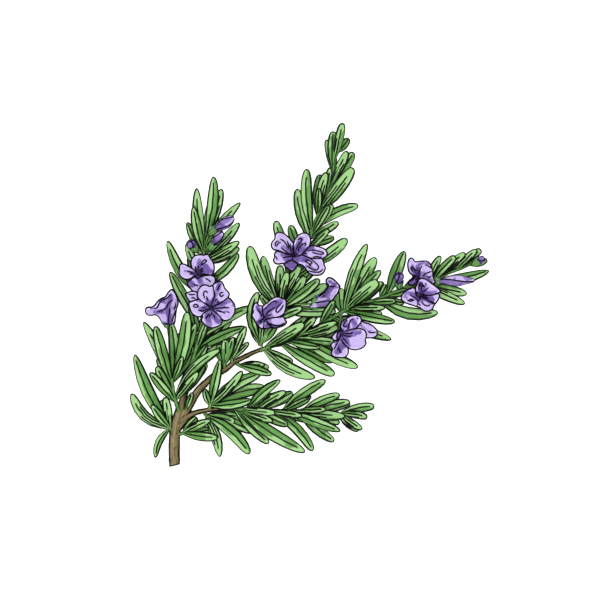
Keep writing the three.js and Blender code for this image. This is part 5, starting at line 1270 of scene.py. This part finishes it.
def tuft_leaves(tuft, rows, draw):
    root = tuple(tuft["seat"] + heading(tuft["heading"], tuft["rise"]) * 2.6)
    return [drawn_leaf({"root": root, "azimuth": azimuth}, azimuth - tuft["heading"], length, own,
                       (tuft["rise"] * 0.4, 16, 0.35), (0.03, 0.04), draw) for azimuth, length, *own in rows]


def grow_leaves(name, rows, fillers, draw):
    """The leaves of a tuft or a shoot that find room."""
    if name in TUFTS:
        return place_all(name, tuft_leaves(TUFTS[name], rows, draw))
    return place_all(name, shoot_leaves(STEMS[name]["route"], rows, fillers, draw))


def blade_line(leaf, number, bluntness):
    """The middle line of a needle, with half its width and its roll."""
    least, most = bluntness
    blunt = least + (most - least) * (number * BLUNTNESS_STEP % 1)
    line = []
    for t, pointed_cut, blunt_cut in LEAF_STATIONS:
        cut = pointed_cut + (blunt_cut - pointed_cut) * blunt
        line.append((*leaf_point(leaf, t), leaf_half_width(leaf, t) * cut + BLADE_GAIN * (t < 1),
                     math.radians(leaf["roll"])))
    return line


# Wood, stems, calyces, corollas and buds take their room first, and the leaves find their way between.
for owner, route, radius in (("wood", TRUNK, 2.6), ("wood", UPPER_BRANCH, 1.4), ("wood", LOWER_BRANCH, 1.4),
                             *((name, shoot["route"], 1.2) for name, shoot in STEMS.items())):
    s = 0.5
    while s < route_length(route):
        take_room(owner, along_route(route, s)[0][:3], radius)
        s += 1.5
for name, cups in carried.items():
    for station, foot, facing in cups:
        start = along_route(STEMS[name]["route"], station)[0]
        keep_line(name, start, foot - start, (0.25, 0.5, 0.75), 0.9)
        keep_line(name, foot, facing, (0, 1.5, 3), CALYX_RADIUS)
for name, tuft in TUFTS.items():
    keep_line(name, np.array(tuft["seat"]), heading(tuft["heading"], tuft["rise"]), (0, 2, 3.5), 1.5)
for number, flower in enumerate(FLOWERS, 1):
    owner = f"flower_{number}"
    facing = heading(*flower["facing"])
    keep_line(owner, np.array(flower["throat"]) - TUBE_LENGTH * facing, facing, (4.5, 5.5, 6.5), 2.2)
    for lobe in flower["lobes"]:
        for t in (0.1, 0.28, 0.46, 0.64, 0.82, 1.0):
            middle, side = lobe_point(flower, lobe, t)
            reach = 0.5 * lobe[2] * math.sin(math.pi * min(0.2 + 0.7 * t, 0.8))
            keep_line(owner, middle, side, (-0.75 * reach, -0.25 * reach, 0.25 * reach, 0.75 * reach), 1.1)
for number, bud in enumerate(BUDS, 1):
    keep_line(f"bud_{number}", bud_foot(bud), heading(*bud["facing"]), np.arange(5, bud["length"] + 1, 1.5),
              0.5 * bud["width"])

# A needle is its section, swept along its middle line. Its points keep what the finish needs to know.
tree, given, made = new_tree("needle", {**{level: "Float" for level in SECTION_HEIGHTS}, "Seed": "Int",
                                             "Finish": "Material"})
number_here = add(tree, "GeometryNodeInputIndex")
side_at, high_at = (add(tree, "GeometryNodeIndexSwitch", {"Index": number_here}, data_type="FLOAT")
                    for _ in range(2))
for i, (sideways, level) in enumerate(SECTION):
    for chooser, value in ((side_at, sideways), (high_at, given[level])):
        if len(chooser.index_switch_items) <= i:
            chooser.index_switch_items.new()
        feed(tree, chooser, {i + 1: value})
# The sweep turns its section half round, so both coordinates are negated.
flat = add(tree, "CombineXYZ", [side_at, high_at])
flat = add(tree, "VectorMath", {0: flat, "Scale": -1.0}, operation="SCALE")
section = add(tree, "GeometryNodeMeshLine", {"Count": len(SECTION)})
section = add(tree, "GeometryNodeSetPosition", {"Geometry": section, "Position": flat})
below = add(tree, "Math", [number_here, LAST_ABOVE + 0.5], operation="GREATER_THAN")
reach = add(tree, "GeometryNodeSplineParameter").outputs
radius = add(tree, "GeometryNodeInputRadius")
half_mm = add(tree, "Math", [radius, 1 / MM], operation="MULTIPLY")
whole_length = add(tree, "GeometryNodeSplineLength").outputs["Length"]
to_tip = add(tree, "Math", [whole_length, reach["Length"]], operation="SUBTRACT")
to_tip = add(tree, "Math", [to_tip, 1 / MM], operation="MULTIPLY")
which = add(tree, "GeometryNodeCurveOfPoint").outputs["Curve Index"]
shade = add(tree, "FunctionNodeRandomValue", {"ID": which, "Seed": given["Seed"]}).outputs[1]
line = given["Lines"]
for label, value in (("across", side_at), ("under", below)):
    section = add(tree, "GeometryNodeStoreNamedAttribute",
                  {"Geometry": section, "Name": label, "Value": value}, data_type="FLOAT")
for label, value in (("along", reach["Factor"]), ("half", half_mm), ("to_tip", to_tip), ("shade", shade)):
    line = add(tree, "GeometryNodeStoreNamedAttribute", {"Geometry": line, "Name": label, "Value": value},
               data_type="FLOAT")
section = add(tree, "GeometryNodeMeshToCurve", {"Mesh": section})
section = add(tree, "GeometryNodeSetSplineCyclic", {"Geometry": section, "Cyclic": True})
leaf_tree = sweep(tree, given, made, line, section)

# Rosemary leaf: leathery, with a weak waxy gloss on top and pale matt felt beneath. Lighter and darker
# patches
# of green meet in clear edges: the lighter, along one margin and at the tip, are painted highlight, and the
# darker painted shade. Near-black lines of painted shade run in the sunken midrib, along folds and round the
# rolled margin.
needle, tree, skin = new_finish("rosemary leaf")
across, along, half, to_tip, shade, under = (
    add(tree, "Attribute", attribute_name=label).outputs["Fac"]
    for label in ("across", "along", "half", "to_tip", "shade", "under"))
where = add(tree, "TexCoord").outputs["Object"]
clouds = add(tree, "TexNoise", {"Vector": where, "Scale": 1 / (6.0 * MM), "Detail": 2.0})
waver = add(tree, "TexNoise", {"Vector": where, "Scale": 1 / (5.0 * MM), "Detail": 0.0})
# Which side gets the painted highlight: on some leaves the left, on some the right, and some get it nearly
# all over.
lean = add(tree, "MapRange", [shade, 0.3, 0.7, 0.55, -0.55])
often = add(tree, "Math", [shade, 7.31], operation="MULTIPLY")
often = add(tree, "Math", [often], operation="FRACT")
highlight_and_shade = clouds
for value, weight in ((across, lean), (along, 0.5), (often, 0.45)):
    highlight_and_shade = add(tree, "Math", [value, weight, highlight_and_shade], operation="MULTIPLY_ADD")
# Painted highlight in the lighter patches and painted shade in the darker ones, over the leaf's own green.
colour = coated(tree, linear("#61964b"), ((highlight_and_shade, 0.93, 1.02, 1, "#98c681"), (highlight_and_shade, 0.62, 0.5, 1, "#50833c")),
                "SMOOTHSTEP")
side_mm = add(tree, "Math", [across, half], operation="MULTIPLY")
side_mm = add(tree, "Math", [waver, 0.5, side_mm], operation="MULTIPLY_ADD")
# Every leaf has a line of painted shade in its midrib, and some along a fold on one side of it or on both.
# All are finer at the foot.
narrow = add(tree, "MapRange", [half, 0.8, 1.9, 0.42, 1.0])
beyond = add(tree, "MapRange", [along, 0.3, 0.55])
narrow = add(tree, "Math", [narrow, beyond], operation="MAXIMUM")
fade = add(tree, "Math", [often, 0.2, along], operation="MULTIPLY_ADD")
painted_shade_lines = 0.0
for line_at, start, end, width, least in (
    (0.1, 0.0, 0.84, 0.42, -1.0), (1.3, 0.04, 0.6, 0.38, 0.6), (-1.25, 0.2, 0.74, 0.38, 0.74),
):
    off = add(tree, "Math", [side_mm, line_at + 0.25], operation="SUBTRACT")
    off = add(tree, "Math", [off], operation="ABSOLUTE")
    off = add(tree, "Math", [off, narrow], operation="DIVIDE")
    stroke = add(tree, "Math", [often, least], operation="GREATER_THAN")
    for value, none, full in ((off, width + 0.06, width - 0.08), (fade, end + 0.14, end + 0.1),
                              (along, start, start + 0.04)):
        share = add(tree, "MapRange", [value, none, full], interpolation_type="SMOOTHSTEP")
        stroke = add(tree, "Math", [stroke, share], operation="MULTIPLY")
    painted_shade_lines = add(tree, "Math", [painted_shade_lines, stroke], operation="MAXIMUM")
# Painted shade: a near-black line round the rolled margin and the tip.
rim = add(tree, "Math", [across], operation="ABSOLUTE")
rim = add(tree, "Math", [1.0, rim], operation="SUBTRACT")
rim = add(tree, "Math", [rim, half], operation="MULTIPLY")
rim = add(tree, "Math", [rim, to_tip], operation="MINIMUM")
rim = add(tree, "Math", [waver, -0.2, rim], operation="MULTIPLY_ADD")
rim = add(tree, "Math", [rim, narrow], operation="DIVIDE")
rim = add(tree, "MapRange", [rim, 0.74, 0.66], interpolation_type="SMOOTHSTEP")
above = add(tree, "Math", [1.0, under], operation="SUBTRACT")
painted_shade_lines = add(tree, "Math", [painted_shade_lines, rim], operation="MAXIMUM")
painted_shade_lines = add(tree, "Math", [painted_shade_lines, above], operation="MULTIPLY")
colour = coated(tree, colour, ((under, 0, 1, 1, "#a8bd98"), (painted_shade_lines, 0, 1, 1, "#060904")))
gloss = add(tree, "MapRange", [under, 0.0, 1.0, 0.48, 0.95])
feed(tree, skin, {"Base Color": colour, "Normal": downy(tree, where, 0.35, 0.3, 0.05), "Roughness": gloss,
                  "Specular IOR Level": 0.12, "Subsurface Weight": 0.04,
                  "Subsurface Radius": (0.5, 1.0, 0.3), "Subsurface Scale": 0.5 * MM})

# Tufts find their room first, then the shoots, then the late leaves of both.
draws = {name: random_source(plan["seed"]) for name, plan in {**TUFT_LEAVES, **SIDE_LEAVES}.items()}
placed = {}
for name, plan in {**TUFT_LEAVES, **SIDE_LEAVES}.items():
    placed[name] = grow_leaves(name, plan["leaves"], plan.get("fillers", 0), draws[name])
for name, rows in LATE_LEAVES.items():
    placed[name] += grow_leaves(name, rows, 0, draws[name])

for seed, (name, leaves) in enumerate(placed.items(), 1):
    lines = [blade_line(leaf, number, BLUNTNESS.get(name, (0, 1))) for number, leaf in enumerate(leaves)]
    blades = grow(f"{name}_leaves", lines, leaf_tree, {**SECTION_HEIGHTS, "Seed": seed, "Finish": needle})
    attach(blades, "root")
    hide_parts(name)

# ---- Floor, light and camera ----
# The sprig lies on a plain white light table, a sheet of matt acrylic that glows a little, under broad, soft
# lamps. The camera looks straight down on it.
HALF_FLOOR = 3000
acrylic, tree, skin = new_finish("white acrylic light table")
where = add(tree, "TexCoord").outputs["Object"]
tooth = add(tree, "TexNoise", {"Vector": where, "Scale": 1 / (0.8 * MM), "Detail": 3.0})
bump = add(tree, "Bump", {"Height": tooth, "Strength": 0.05, "Distance": 0.02 * MM})
feed(tree, skin, {"Base Color": linear("#ffffff"), "Normal": bump, "Roughness": 0.95,
                  "Specular IOR Level": 0.1, "Emission Color": (1, 1, 1, 1), "Emission Strength": 0.6})
corners = [(x * HALF_FLOOR, y * HALF_FLOOR, -0.02) for x, y in ((-1, -1), (1, -1), (1, 1), (-1, 1))]
board = new_piece("floor", corners, [(0, 1, 2, 3)], {}, acrylic)

scene = bpy.context.scene
scene.view_settings.view_transform = "Standard"
sky = bpy.data.worlds.new("studio")
sky.use_nodes = True
feed(sky.node_tree, sky.node_tree.nodes["Background"], {"Color": (1, 1, 1, 1), "Strength": 0.8})
scene.world = sky
SPRIG_MIDDLE = Vector((0.065, 0.08, 0.0))
for name, place, size, power in (
    ("key", (0.0, 0.2, 1.7), 0.5, 13.0),
    ("fill", (0.6, -0.5, 0.9), 0.9, 1.6),
):
    lamp_data = bpy.data.lights.new(name, "AREA")
    lamp_data.shape = "DISK"
    lamp_data.size = size
    lamp_data.energy = power
    lamp = show(name, lamp_data)
    lamp.location = place
    lamp.rotation_euler = (SPRIG_MIDDLE - Vector(place)).to_track_quat("-Z", "Y").to_euler()

VIEW_WIDTH = 0.3
CAMERA_HEIGHT = 1.2
SPRIG_HEIGHT = 0.009  # the level that the view width holds at
camera_data = bpy.data.cameras.new("above")
camera_data.lens = camera_data.sensor_width * CAMERA_HEIGHT / VIEW_WIDTH
camera = show("above", camera_data)
camera.location = (0.063, 0.077, CAMERA_HEIGHT + SPRIG_HEIGHT)
scene.camera = camera
